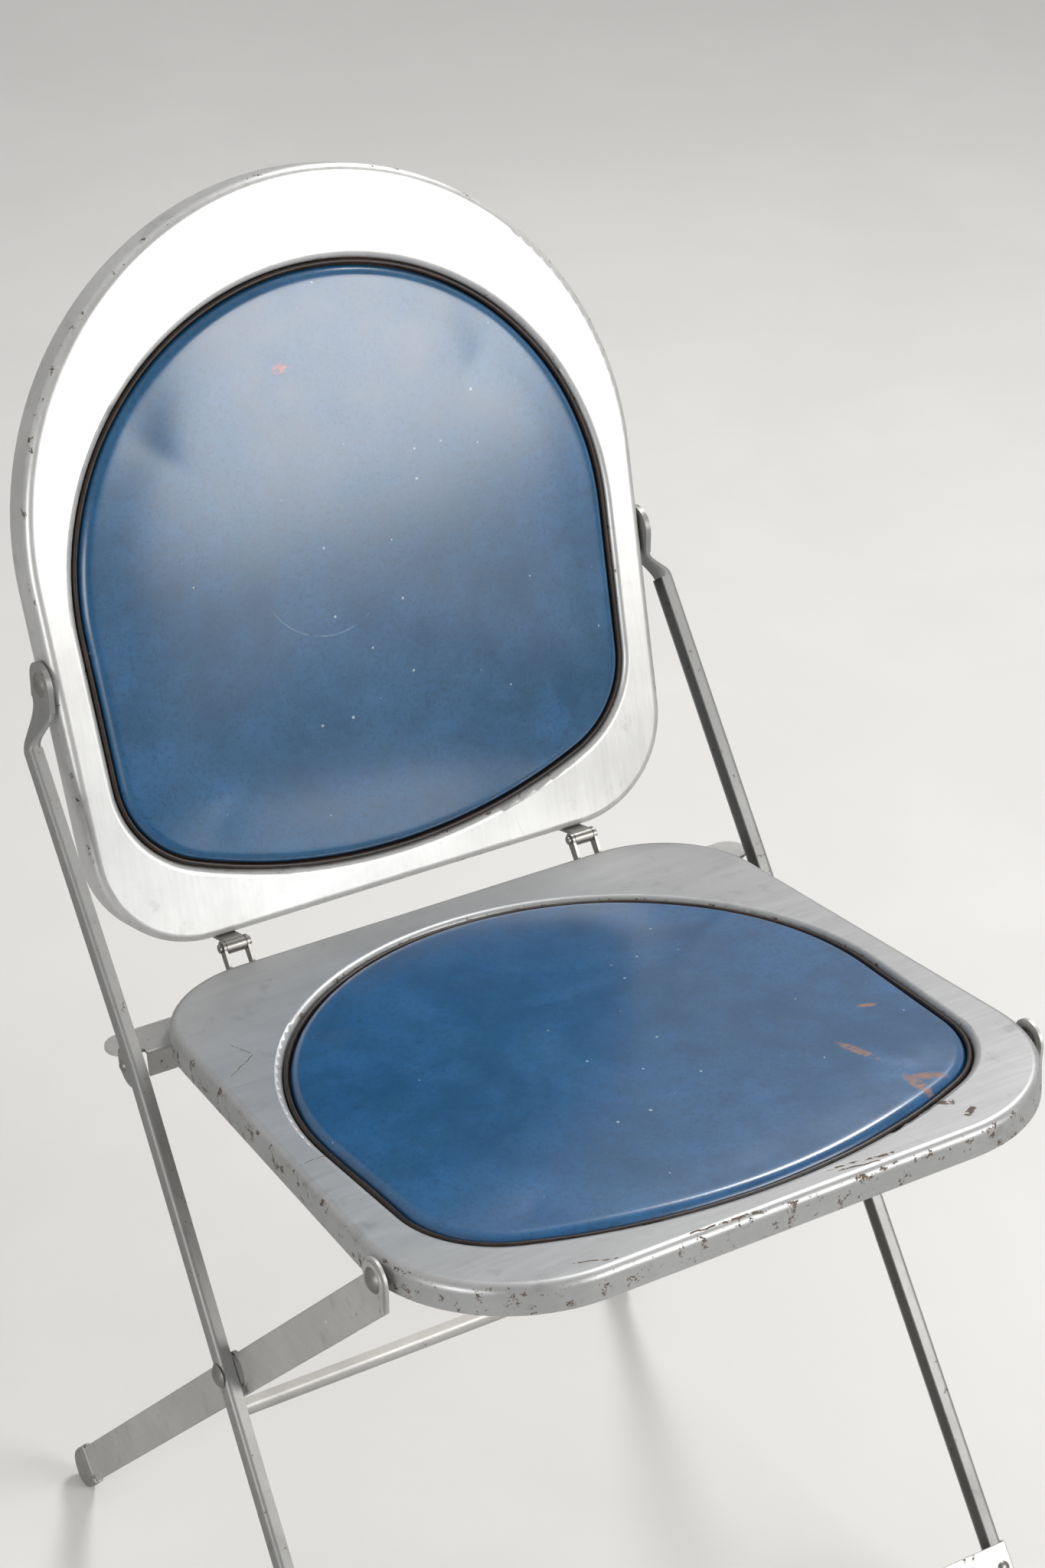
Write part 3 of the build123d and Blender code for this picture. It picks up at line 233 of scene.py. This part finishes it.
def make_pad(name, plane, body, node, material):
    """Blue padded piece over its CAD node: domed, swollen under pressure and made finer."""
    local, faces = pad_mesh(plane)
    points = placed(local, plane)
    pad = mesh_object(name, points, faces, material)
    swell(pad, points, local[:, 2] < plane["edge"] - 0.9 * PAD_ROLL)
    finer = pad.modifiers.new("finer", "SUBSURF")
    finer.levels = finer.render_levels = 1
    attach(pad, body)
    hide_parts(node)


def make_welt(name, plane, body, node, material, seed):
    """Rubber trim carried round the opening: a rounded section whose crest rises and falls a little."""
    count, around = WELT_LENGTHWISE, WELT_AROUND
    angle = np.linspace(0, 2 * math.pi, around, endpoint=False)
    across = np.sign(np.cos(angle)) * abs(np.cos(angle)) ** WELT_ROUNDNESS * WELT_HALF_WIDTH
    up = np.sign(np.sin(angle)) * abs(np.sin(angle)) ** WELT_ROUNDNESS
    rng = np.random.default_rng(seed)
    walk = np.linspace(0, 2 * math.pi, count, endpoint=False)
    wave = sum(np.sin(k * walk + rng.uniform(0, 6.3)) * rng.uniform(0.02, 0.09) for k in range(3, 24, 3))
    top = WELT_TOP + wave
    rows = []
    for a, u in zip(across, up):
        path = opening_path(plane, WELT_MIDDLE - a, count)
        rows.append(np.column_stack([path, (top + WELT_FLOOR) / 2 + u * (top - WELT_FLOOR) / 2]))
    points = placed(np.concatenate(rows), plane)
    faces = strip_faces(around + 1, count) % (around * count)
    welt = mesh_object(name, points, faces[:, ::-1], material)
    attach(welt, body)
    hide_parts(node)


# ---------------------------------------------------------------- node wiring
class Wiring:
    """Short words for adding nodes to one tree and joining them."""

    def __init__(self, tree):
        self.tree = tree

    def feed(self, node, inputs):
        """Join each input to a socket, or set it to a value."""
        for key, value in inputs.items():
            if isinstance(value, bpy.types.NodeSocket):
                self.tree.links.new(value, node.inputs[key])
            else:
                node.inputs[key].default_value = value
        return node

    def add(self, kind, inputs, **settings):
        """A new node with its settings and inputs."""
        node = self.tree.nodes.new(kind)
        for key, value in settings.items():
            setattr(node, key, value)
        return self.feed(node, inputs)

    def maths(self, operation, a, b=0.0):
        return self.add("ShaderNodeMath", {0: a, 1: b}, operation=operation).outputs[0]

    def noise(self, place, scale, detail=3.0, rough=0.5, twist=0.0):
        return self.add("ShaderNodeTexNoise", {"Vector": place, "Scale": scale, "Detail": detail,
                                               "Roughness": rough, "Distortion": twist}).outputs[0]

    def ease(self, value, low, high, start=0.0, end=1.0):
        """A smooth step from start to end while value goes from low to high."""
        return self.add("ShaderNodeMapRange", {"Value": value, "From Min": low, "From Max": high,
                                               "To Min": start, "To Max": end},
                        interpolation_type="SMOOTHSTEP").outputs[0]

    def between(self, value, low, high, blur):
        """1 where value lies between low and high, with soft ends."""
        rising = self.ease(value, low - blur, low + blur)
        return self.maths("MULTIPLY", rising, self.ease(value, high - blur, high + blur, 1.0, 0.0))

    def blend(self, share, a, b):
        """Colour a, giving way to colour b as share goes to 1."""
        return self.add("ShaderNodeMix", {0: share, 6: a, 7: b}, data_type="RGBA").outputs[2]

    def stretch(self, place, scale):
        return self.add("ShaderNodeMapping", {"Vector": place, "Scale": scale}).outputs[0]

    def parts(self, place):
        return self.add("ShaderNodeSeparateXYZ", {0: place}).outputs

    def frame_at(self, place, **settings):
        """Place seen from a frame of its own: Location, Rotation and Scale say where that frame is."""
        return self.add("ShaderNodeMapping", {"Vector": place, **settings}, vector_type="TEXTURE").outputs[0]

    def effect(self, name, **inputs):
        """One of the shared effects: its first output."""
        group = self.tree.nodes.new("ShaderNodeGroup")
        group.node_tree = EFFECTS[name]
        return self.feed(group, inputs).outputs[0]


def effect_group(name, inputs, output, build):
    """A node group with named sockets. build gets the wiring and the input sockets and returns the output."""
    tree = bpy.data.node_groups.new(name, "ShaderNodeTree")
    for key, value in inputs.items():
        kind = "NodeSocketVector" if value is None else "NodeSocketFloat"
        socket = tree.interface.new_socket(key, in_out="INPUT", socket_type=kind)
        if value is not None:
            socket.default_value = value
    tree.interface.new_socket(output, in_out="OUTPUT", socket_type="NodeSocketFloat")
    wiring = Wiring(tree)
    given, leaving = tree.nodes.new("NodeGroupInput"), tree.nodes.new("NodeGroupOutput")
    tree.links.new(build(wiring, given.outputs), leaving.inputs[0])
    return tree


def build_chips(w, given):
    """Chipped paint: coarse and fine noise added, cut off sharply. Band brings the chips to where it is 1."""
    coarse = w.noise(given["Place"], given["Scale"], 3.0, 0.6)
    fine = w.noise(given["Place"], w.maths("MULTIPLY", given["Scale"], 6.0), 5.0, 0.75)
    total = w.maths("ADD", w.maths("MULTIPLY", coarse, 0.6), w.maths("MULTIPLY", fine, 0.4))
    total = w.maths("ADD", total, w.maths("MULTIPLY", w.maths("SUBTRACT", given["Band"], 1.0), 0.3))
    start = w.maths("SUBTRACT", 0.72, w.maths("MULTIPLY", given["Cover"], 0.3))
    mask = w.maths("DIVIDE", w.maths("SUBTRACT", total, start), 0.014)
    return w.add("ShaderNodeClamp", {"Value": mask}).outputs[0]


def build_scratches(w, given):
    """Hairline scratches: the middle contour of stretched noise, broken up by a second noise."""
    lines = w.noise(given["Place"], given["Scale"], 1.5, 0.4, 0.6)
    line = w.ease(w.maths("ABSOLUTE", w.maths("SUBTRACT", lines, 0.5)), 0.0, 0.006, 1.0, 0.0)
    breaks = w.noise(given["Place"], w.maths("MULTIPLY", given["Scale"], 0.8), 4.0, 0.6, 1.0)
    start = w.maths("SUBTRACT", 0.75, w.maths("MULTIPLY", given["Cover"], 0.3))
    share = w.maths("DIVIDE", w.maths("SUBTRACT", breaks, start), 0.05)
    return w.maths("MULTIPLY", line, w.add("ShaderNodeClamp", {"Value": share}).outputs[0])


def build_grain(w, given):
    """Brushed grain: fine noise drawn out along one axis, with a weaker coarse copy."""
    fine = w.noise(given["Place"], given["Scale"], 4.0, 0.7)
    coarse = w.noise(given["Place"], w.maths("MULTIPLY", given["Scale"], 0.22), 3.0, 0.5)
    return w.maths("ADD", w.maths("MULTIPLY", fine, 0.6), w.maths("MULTIPLY", coarse, 0.4))


def build_mottle(w, given):
    """Soft patches of dirt and fading: two scales of noise, eased."""
    wide = w.noise(given["Place"], given["Scale"], 5.0, 0.6, 0.8)
    small = w.noise(given["Place"], w.maths("MULTIPLY", given["Scale"], 4.0), 4.0, 0.6)
    total = w.maths("ADD", w.maths("MULTIPLY", wide, 0.7), w.maths("MULTIPLY", small, 0.3))
    return w.ease(total, 0.36, 0.66)


def build_specks(w, given):
    """Small round marks: a few of the cells of a Voronoi pattern, each with a dot of its own."""
    cells = w.add("ShaderNodeTexVoronoi", {"Vector": given["Place"], "Scale": given["Scale"]},
                  voronoi_dimensions="2D")
    chosen = w.parts(cells.outputs["Color"])
    size = w.maths("MULTIPLY", chosen[1], given["Size"])
    dot = w.maths("LESS_THAN", cells.outputs["Distance"], size)
    return w.maths("MULTIPLY", dot, w.maths("LESS_THAN", chosen[0], given["Share"]))


EFFECTS = {
    "chips": effect_group("chipped_paint", {"Place": None, "Scale": 60.0, "Cover": 0.3, "Band": 1.0},
                          "Mask", build_chips),
    "scratches": effect_group("hairline_scratches", {"Place": None, "Scale": 20.0, "Cover": 0.4},
                              "Mask", build_scratches),
    "grain": effect_group("brushed_grain", {"Place": None, "Scale": 300.0}, "Value", build_grain),
    "mottle": effect_group("soft_mottle", {"Place": None, "Scale": 8.0}, "Value", build_mottle),
    "specks": effect_group("small_specks", {"Place": None, "Scale": 45.0, "Size": 0.04, "Share": 0.3},
                           "Mask", build_specks),
}


def new_material(name, **constants):
    """A material with one Principled BSDF whose constants are set on its own sockets."""
    material = bpy.data.materials.new(name)
    material.use_nodes = True
    shader = material.node_tree.nodes["Principled BSDF"]
    for key, value in constants.items():
        shader.inputs[key.replace("_", " ")].default_value = value
    return material, Wiring(material.node_tree), shader


def own_place(w, plane=None):
    """Object coordinates in metres, seen from a plane's own frame where one is given."""
    place = w.tree.nodes.new("ShaderNodeTexCoord").outputs["Object"]
    if plane is None:
        return place
    return w.frame_at(place, Location=tuple(plane["origin"]), Rotation=(plane["tilt"], 0.0, 0.0))


def join(w, shader, **sockets):
    """Join sockets to a shader's inputs."""
    for key, value in sockets.items():
        w.tree.links.new(value, shader.inputs[key.replace("_", " ")])


def bumped(w, height, strength, distance):
    """A normal bumped by height."""
    return w.add("ShaderNodeBump", {"Height": height, "Strength": strength, "Distance": distance}).outputs[0]


def shade(colour, factor):
    """A colour made darker by a factor, with full alpha."""
    return tuple(c * factor for c in colour[:3]) + (1.0,)


# Colours of wear.
RUST = (0.045, 0.026, 0.016, 1.0)
BARE = (0.16, 0.12, 0.09, 1.0)
GRAIN_DIRT = (0.2, 0.19, 0.18, 1.0)
FADED_BLUE = (0.02, 0.09, 0.17, 1.0)
PALE_LINE = (0.3, 0.36, 0.42, 1.0)
PALE_SPECK = (0.42, 0.5, 0.55, 1.0)
DARK_SPECK = (0.008, 0.03, 0.05, 1.0)
PALE_ARC = (0.32, 0.4, 0.47, 1.0)
RED_MARK = (0.5, 0.09, 0.07, 1.0)
SCUFF_BROWN = (0.09, 0.075, 0.06, 1.0)
SCUFF_ORANGE = (0.42, 0.17, 0.07, 1.0)


def satin_steel(name, colour, roughness, plane=None, band=None, cover=0.3, chip_scale=140.0,
                grain=(1.0, 0.08, 1.0), metallic=0.6, lines=()):
    """Satin aluminium paint on sheet steel: brushed grain, soft dirt, hairlines, and dark chips.
    band is the range of depth under the plane's face where the bend is, and chips gather there (mm)."""
    material, w, shader = new_material(name)
    place = own_place(w, plane)
    grains = w.effect("grain", Place=w.stretch(place, grain), Scale=420.0)
    dirt = w.effect("mottle", Place=place, Scale=9.0)
    near_edge = w.between(w.parts(place)[2], band[0] * MM, band[1] * MM, 0.9 * MM) if band else 1.0
    chips = w.effect("chips", Place=place, Scale=chip_scale, Cover=cover, Band=near_edge)
    hairs = w.effect("scratches", Place=w.stretch(place, (1.0, 0.35, 1.0)), Scale=26.0, Cover=0.35)
    smudge = w.ease(w.noise(place, 45.0, 5.0, 0.7), 0.56, 0.72)
    tone = w.blend(dirt, shade(colour, 0.86), shade(colour, 1.0))
    tone = w.blend(w.ease(grains, 0.35, 0.65), w.blend(0.12, tone, GRAIN_DIRT), tone)
    tone = w.blend(w.maths("MULTIPLY", smudge, 0.3), tone, shade(colour, 0.4))
    tone = w.blend(w.maths("MULTIPLY", hairs, 0.35), tone, BARE)
    rusty = w.blend(w.noise(place, 400.0, 3.0, 0.6), RUST, BARE)
    for start, end, width in lines:
        chips = w.maths("MAXIMUM", chips, stroke_mask(w, place, start, end, width))
    tone = w.blend(chips, tone, rusty)
    sheen = w.maths("ADD", roughness - 0.06, w.maths("MULTIPLY", dirt, -0.05))
    sheen = w.maths("ADD", sheen, w.maths("MULTIPLY", grains, 0.22))
    sheen = w.maths("MAXIMUM", sheen, w.maths("MULTIPLY", chips, 0.7))
    metal = w.maths("SUBTRACT", metallic, w.maths("MULTIPLY", chips, metallic))
    height = w.maths("ADD", w.maths("MULTIPLY", grains, 0.25), w.maths("MULTIPLY", chips, -0.8))
    join(w, shader, Base_Color=tone, Roughness=sheen, Metallic=metal, Normal=bumped(w, height, 0.25, 0.0004))
    return material


def stroke_mask(w, place, start, end, width):
    """A thin broken scratch between two points of the plane, in mm."""
    (ax, ay), (bx, by) = start, end
    length = math.hypot(bx - ax, by - ay)
    x, y, z = w.parts(w.frame_at(place, Location=((ax + bx) / 2 * MM, (ay + by) / 2 * MM, 0.0),
                                 Rotation=(0.0, 0.0, math.atan2(by - ay, bx - ax))))
    wander = w.maths("MULTIPLY", w.maths("SUBTRACT", w.noise(place, 120.0, 2.0), 0.5), 3.0 * MM)
    off = w.maths("ABSOLUTE", w.maths("ADD", y, wander))
    line = w.ease(off, width * 0.5 * MM, width * 0.9 * MM, 1.0, 0.0)
    ends = w.ease(w.maths("ABSOLUTE", x), length / 2 * MM, (length / 2 + 1) * MM, 1.0, 0.0)
    line = w.maths("MULTIPLY", line, ends)
    line = w.maths("MULTIPLY", line, w.ease(w.noise(place, 260.0, 3.0, 0.6), 0.38, 0.5))
    return w.maths("MULTIPLY", line, w.ease(z, -6.0 * MM, -4.0 * MM))


def blue_vinyl(name, colour, plane, marks):
    """Glossy vinyl: leather grain, faded and darker patches, pin specks, hairlines, and this pad's own marks."""
    material, w, shader = new_material(name, Coat_Weight=0.8, Coat_Roughness=0.2)
    place = own_place(w, plane)
    patches = w.effect("mottle", Place=place, Scale=11.0)
    fade = w.effect("mottle", Place=w.stretch(place, (1.0, 0.6, 1.0)), Scale=26.0)
    specks = w.effect("specks", Place=place, Scale=48.0, Size=0.045, Share=0.22)
    dots = w.effect("specks", Place=w.stretch(place, (1.0, 1.3, 1.0)), Scale=70.0, Size=0.05, Share=0.12)
    lines = w.effect("scratches", Place=place, Scale=14.0, Cover=0.3)
    cells = w.add("ShaderNodeTexVoronoi", {"Vector": place, "Scale": 720.0}).outputs["Distance"]
    fine = w.noise(place, 900.0, 3.0)
    pebbles = w.maths("ADD", w.maths("MULTIPLY", cells, 0.5), w.maths("MULTIPLY", fine, 0.5))
    tone = w.blend(patches, shade(colour, 0.62), shade(colour, 1.0))
    tone = w.blend(w.maths("MULTIPLY", fade, 0.3), tone, FADED_BLUE)
    tone = w.blend(w.maths("MULTIPLY", lines, 0.18), tone, PALE_LINE)
    tone = w.blend(w.maths("MULTIPLY", specks, 0.75), tone, PALE_SPECK)
    tone = w.blend(w.maths("MULTIPLY", dots, 0.6), tone, DARK_SPECK)
    pores = w.maths("MULTIPLY", w.ease(cells, 0.25, 0.75), w.ease(w.noise(place, 300.0, 4.0, 0.7), 0.4, 0.62))
    tone = w.blend(w.maths("MULTIPLY", pores, 0.55), tone, shade(colour, 0.42))
    tone, worn = marks(w, place, tone)
    rough = w.maths("ADD", 0.25, w.maths("MULTIPLY", patches, 0.08))
    rough = w.maths("ADD", rough, w.maths("MULTIPLY", w.noise(place, 35.0, 5.0, 0.65), 0.1))
    rough = w.maths("ADD", rough, w.maths("MULTIPLY", worn, 0.3))
    height = w.maths("ADD", w.maths("MULTIPLY", pebbles, 0.3), w.maths("MULTIPLY", specks, -1.0))
    join(w, shader, Base_Color=tone, Roughness=rough, Normal=bumped(w, height, 0.12, 0.0003))
    return material


def distance_from_middle(w, x, y):
    """Square root of x squared plus y squared."""
    return w.maths("SQRT", w.maths("ADD", w.maths("MULTIPLY", x, x), w.maths("MULTIPLY", y, y)))


def spot_mask(w, place, x, y, width, depth, turn=0.0):
    """A soft oval around a point of the plane, in mm."""
    across, along, _ = w.parts(w.frame_at(place, Location=(x * MM, y * MM, 0.0), Rotation=(0.0, 0.0, turn),
                                          Scale=(width * MM, depth * MM, 1.0)))
    return w.ease(distance_from_middle(w, across, along), 0.4, 1.0, 1.0, 0.0)


def back_marks(w, place, tone):
    """A small reddish mark high on the left, and a faint arc scratch near the middle."""
    red = w.maths("MULTIPLY", spot_mask(w, place, -27.0, 305.0, 7.0, 3.5),
                  w.ease(w.noise(place, 500.0, 4.0, 0.7), 0.42, 0.56))
    x, y, _ = w.parts(place)
    dx, dy = w.maths("ADD", x, 0.021), w.maths("SUBTRACT", y, 0.193)
    ring = w.between(distance_from_middle(w, dx, dy), 0.0395, 0.0402, 0.0004)
    arc = w.maths("MULTIPLY", ring, w.ease(dy, -0.030, -0.012, 1.0, 0.0))
    arc = w.maths("MULTIPLY", arc, w.ease(w.noise(place, 90.0, 3.0), 0.4, 0.55))
    tone = w.blend(w.maths("MULTIPLY", arc, 0.35), tone, PALE_ARC)
    return w.blend(w.maths("MULTIPLY", red, 0.8), tone, RED_MARK), arc


def seat_marks(w, place, tone):
    """Brown and orange scuffs near the front right, and a few small nicks."""
    tear = w.noise(w.stretch(place, (1.0, 3.2, 1.0)), 90.0, 5.0, 0.7, 0.6)
    wide = w.ease(tear, 0.4, 0.5)
    scuffs = w.maths("MULTIPLY", spot_mask(w, place, 102.5, 92.5, 17.0, 3.6, -1.23), wide)
    corner = w.maths("MAXIMUM", spot_mask(w, place, 110.0, 51.0, 14.0, 4.6, -1.45),
                     spot_mask(w, place, 119.0, 55.0, 13.0, 4.0, -0.4))
    scuffs = w.maths("MAXIMUM", scuffs, w.maths("MULTIPLY", corner, wide))
    nick = w.maths("MULTIPLY", spot_mask(w, place, 135.0, 130.0, 7.0, 2.6, -0.3), w.ease(tear, 0.35, 0.42))
    worn = w.maths("MAXIMUM", scuffs, nick)
    brown = w.blend(w.noise(place, 160.0, 3.0), SCUFF_BROWN, SCUFF_ORANGE)
    return w.blend(w.maths("MULTIPLY", worn, 0.85), tone, brown), worn


def plain_finish(name, dark, light, roughness, scale):
    """Two-tone finish by noise, with darker dirt."""
    material, w, shader = new_material(name)
    place = own_place(w)
    grains = w.effect("grain", Place=place, Scale=scale)
    dirt = w.effect("mottle", Place=place, Scale=14.0)
    tone = w.blend(w.ease(grains, 0.35, 0.65), dark, light)
    tone = w.blend(w.maths("MULTIPLY", dirt, 0.3), tone, shade(dark, 0.7))
    rough = w.maths("ADD", roughness - 0.1, w.maths("MULTIPLY", grains, 0.2))
    join(w, shader, Base_Color=tone, Roughness=rough, Normal=bumped(w, grains, 0.2, 0.0003))
    return material


# ---------------------------------------------------------------- finishes on the carried-over nodes
SILVER = (0.76, 0.76, 0.75)
GREY = (0.50, 0.505, 0.505)
# Long scratches on the seat's pan: start, end and width, in mm of its plane.
SEAT_LINES = (((-162, 295), (-156, 280), 0.5), ((-156, 280), (-176, 266), 0.5), ((-186, 167), (-170, 168), 0.5),
              ((26, 12.5), (62, 7), 1.2), ((30, 9), (52, 5), 0.8), ((107, 34), (115, 28), 3.2),
              ((113, 14), (120, 19), 2.4), ((-119, 14), (-100, 6), 0.7), ((-60, 4), (-20, 2), 0.9))
back_pan_steel = satin_steel("back_pan_steel", SILVER, 0.36, BACK, (-7.0, -0.5), cover=0.42)
seat_pan_steel = satin_steel("seat_pan_steel", GREY, 0.38, SEAT, (-17.0, -0.6), cover=0.5,
                             grain=(0.08, 1.0, 1.0), lines=SEAT_LINES)
# The uprights and spacers have the same satin paint as the legs. Their darker grey is painted shade, standing in
# for the dark reflection on the uprights' faces.
upright_steel_painted_shade = satin_steel("upright_steel_painted_shade", (0.33, 0.33, 0.325), 0.44, cover=0.34, chip_scale=210.0,
                            grain=(1.0, 1.0, 0.06), metallic=0.5)
leg_steel = satin_steel("leg_steel", (0.58, 0.575, 0.56), 0.42, cover=0.26, chip_scale=150.0, metallic=0.5)
stretcher_steel = satin_steel("stretcher_steel", (0.74, 0.73, 0.71), 0.42, cover=0.42, chip_scale=110.0,
                              grain=(0.06, 1.0, 1.0), metallic=0.5)
fixing_steel = satin_steel("fixing_steel", (0.34, 0.33, 0.31), 0.32, cover=0.28, chip_scale=330.0, metallic=0.8)
cap_steel = satin_steel("foot_cap_steel", (0.42, 0.41, 0.39), 0.42, cover=0.46, chip_scale=190.0)
hardboard = plain_finish("hardboard", (0.16, 0.09, 0.045, 1.0), (0.3, 0.19, 0.1, 1.0), 0.75, 500.0)
welt_rubber = plain_finish("welt_rubber", (0.008, 0.006, 0.005, 1.0), (0.04, 0.02, 0.012, 1.0), 0.4, 260.0)
back_vinyl = blue_vinyl("back_vinyl", (0.018, 0.11, 0.25), BACK, back_marks)
seat_vinyl = blue_vinyl("seat_vinyl", (0.009, 0.10, 0.26), SEAT, seat_marks)


def finish_for(node):
    """The finish of a carried-over node: that of the first of these words that its name holds."""
    words = (("back_pan", back_pan_steel), ("seat_pan", seat_pan_steel), ("board_clips", fixing_steel),
             ("board_screws", fixing_steel), ("board", hardboard), ("cap", cap_steel), ("rivet", fixing_steel),
             ("washer", fixing_steel), ("pin", fixing_steel), ("lug", fixing_steel), ("bracket", fixing_steel),
             ("upright", upright_steel_painted_shade), ("spacer", upright_steel_painted_shade), ("stretcher", stretcher_steel),
             ("pad", back_vinyl), ("welt", welt_rubber))
    return next((finish for word, finish in words if word in node), leg_steel)


for node_name, node_object in NODES.items():
    node_object.data.materials.clear()
    node_object.data.materials.append(finish_for(node_name))

make_pad("back_cushion", BACK, "backrest", "back_pad", back_vinyl)
make_pad("seat_cushion", SEAT, "seat", "seat_pad", seat_vinyl)
make_welt("back_trim", BACK, "backrest", "back_welt", welt_rubber, 4)
make_welt("seat_trim", SEAT, "seat", "seat_welt", welt_rubber, 9)


# ---------------------------------------------------------------- floor, lights and camera
FLOOR_HALF = 90.0           # m, so far that its edge looks like a horizon
FLOOR_POINTS = 5
FLOOR_LIGHT, FLOOR_DARK = (0.69, 0.682, 0.67, 1.0), (0.66, 0.652, 0.64, 1.0)
FLOOR_IN_GLOSS = (0.30, 0.30, 0.30, 1.0)
ROOM_COLOUR = (0.86, 0.855, 0.845, 1.0)
ROOM_LEVEL = 0.66
ROOM_SEEN_LOSS = 0.21       # what the room loses where the camera sees it directly
CAMERA_PLACE = (-0.7836, -1.3210, 1.4512)
CAMERA_DOWN, CAMERA_TURN = 30.37, -30.74
CAMERA_LENS, CAMERA_SENSOR = 77.34, 36.0


def make_floor():
    """Plain pale floor, wide enough to fill the view."""
    side = np.linspace(-FLOOR_HALF, FLOOR_HALF, FLOOR_POINTS)
    x, y = np.meshgrid(side, side, indexing="ij")
    points = np.stack([x, y, np.zeros_like(x)], -1).reshape(-1, 3)
    material, w, shader = new_material("pale_floor", Roughness=0.6)
    place = own_place(w)
    tone = w.blend(w.effect("mottle", Place=place, Scale=1.6), FLOOR_DARK, FLOOR_LIGHT)
    glossy = w.tree.nodes.new("ShaderNodeLightPath").outputs["Is Glossy Ray"]
    join(w, shader, Base_Color=w.blend(glossy, tone, FLOOR_IN_GLOSS))
    faces = strip_faces(FLOOR_POINTS, FLOOR_POINTS, closed=False)
    floor = mesh_object("floor", points, faces[:, ::-1], material)


def soft_light(name, place, aim, width, depth, power, colour=(1.0, 1.0, 1.0)):
    """A rectangular studio light at a place, turned towards a point."""
    data = bpy.data.lights.new(name, "AREA")
    data.shape, data.size, data.size_y, data.energy, data.color = "RECTANGLE", width, depth, power, colour
    lamp = bpy.data.objects.new(name, data)
    lamp.location = place
    way = np.array(aim) - np.array(place)
    down = math.acos(-way[2] / np.linalg.norm(way))
    lamp.rotation_euler = (down, 0.0, math.atan2(way[1], way[0]) - math.pi / 2)
    bpy.context.scene.collection.objects.link(lamp)


make_floor()
# name, place and aim (m), width and depth (m), power (W)
soft_light("front_softbox", (1.18, -2.05, 1.42), (0.0, 0.2, 0.62), 1.3, 1.1, 38.0, (1.0, 0.99, 0.97))
soft_light("left_softbox", (-2.4, -1.1, 0.9), (0.0, 0.0, 0.35), 1.1, 1.1, 20.0)
soft_light("overhead_softbox", (1.5, 0.9, 2.6), (0.0, 0.0, 0.2), 0.7, 0.7, 42.0)


def make_studio():
    """Even pale surroundings, seen directly as bright as the far floor. In gloss they are dimmer towards the
    front, where the room is dark."""
    world = bpy.data.worlds.new("studio")
    world.use_nodes = True
    w = Wiring(world.node_tree)
    background = world.node_tree.nodes["Background"]
    _, forward, height = w.parts(w.tree.nodes.new("ShaderNodeTexCoord").outputs["Generated"])
    dim = w.maths("MULTIPLY", w.ease(forward, -0.6, 0.2, 0.12, 0.42), w.ease(height, -0.1, 0.9, 1.0, 1.5))
    ray = w.tree.nodes.new("ShaderNodeLightPath").outputs
    in_gloss = w.maths("MULTIPLY", ray["Is Glossy Ray"], w.maths("SUBTRACT", dim, ROOM_LEVEL))
    seen = w.maths("MULTIPLY", ray["Is Camera Ray"], ROOM_SEEN_LOSS)
    level = w.maths("SUBTRACT", w.maths("ADD", in_gloss, ROOM_LEVEL), seen)
    join(w, background, Strength=level)
    background.inputs["Color"].default_value = ROOM_COLOUR
    bpy.context.scene.world = world


make_studio()
bpy.context.scene.view_settings.view_transform = "Standard"

camera_data = bpy.data.cameras.new("camera")
camera_data.lens = CAMERA_LENS
camera_data.sensor_width = CAMERA_SENSOR
camera = bpy.data.objects.new("camera", camera_data)
camera.location = CAMERA_PLACE
camera.rotation_euler = (math.radians(90.0 - CAMERA_DOWN), 0.0, math.radians(CAMERA_TURN))
bpy.context.scene.collection.objects.link(camera)
bpy.context.scene.camera = camera
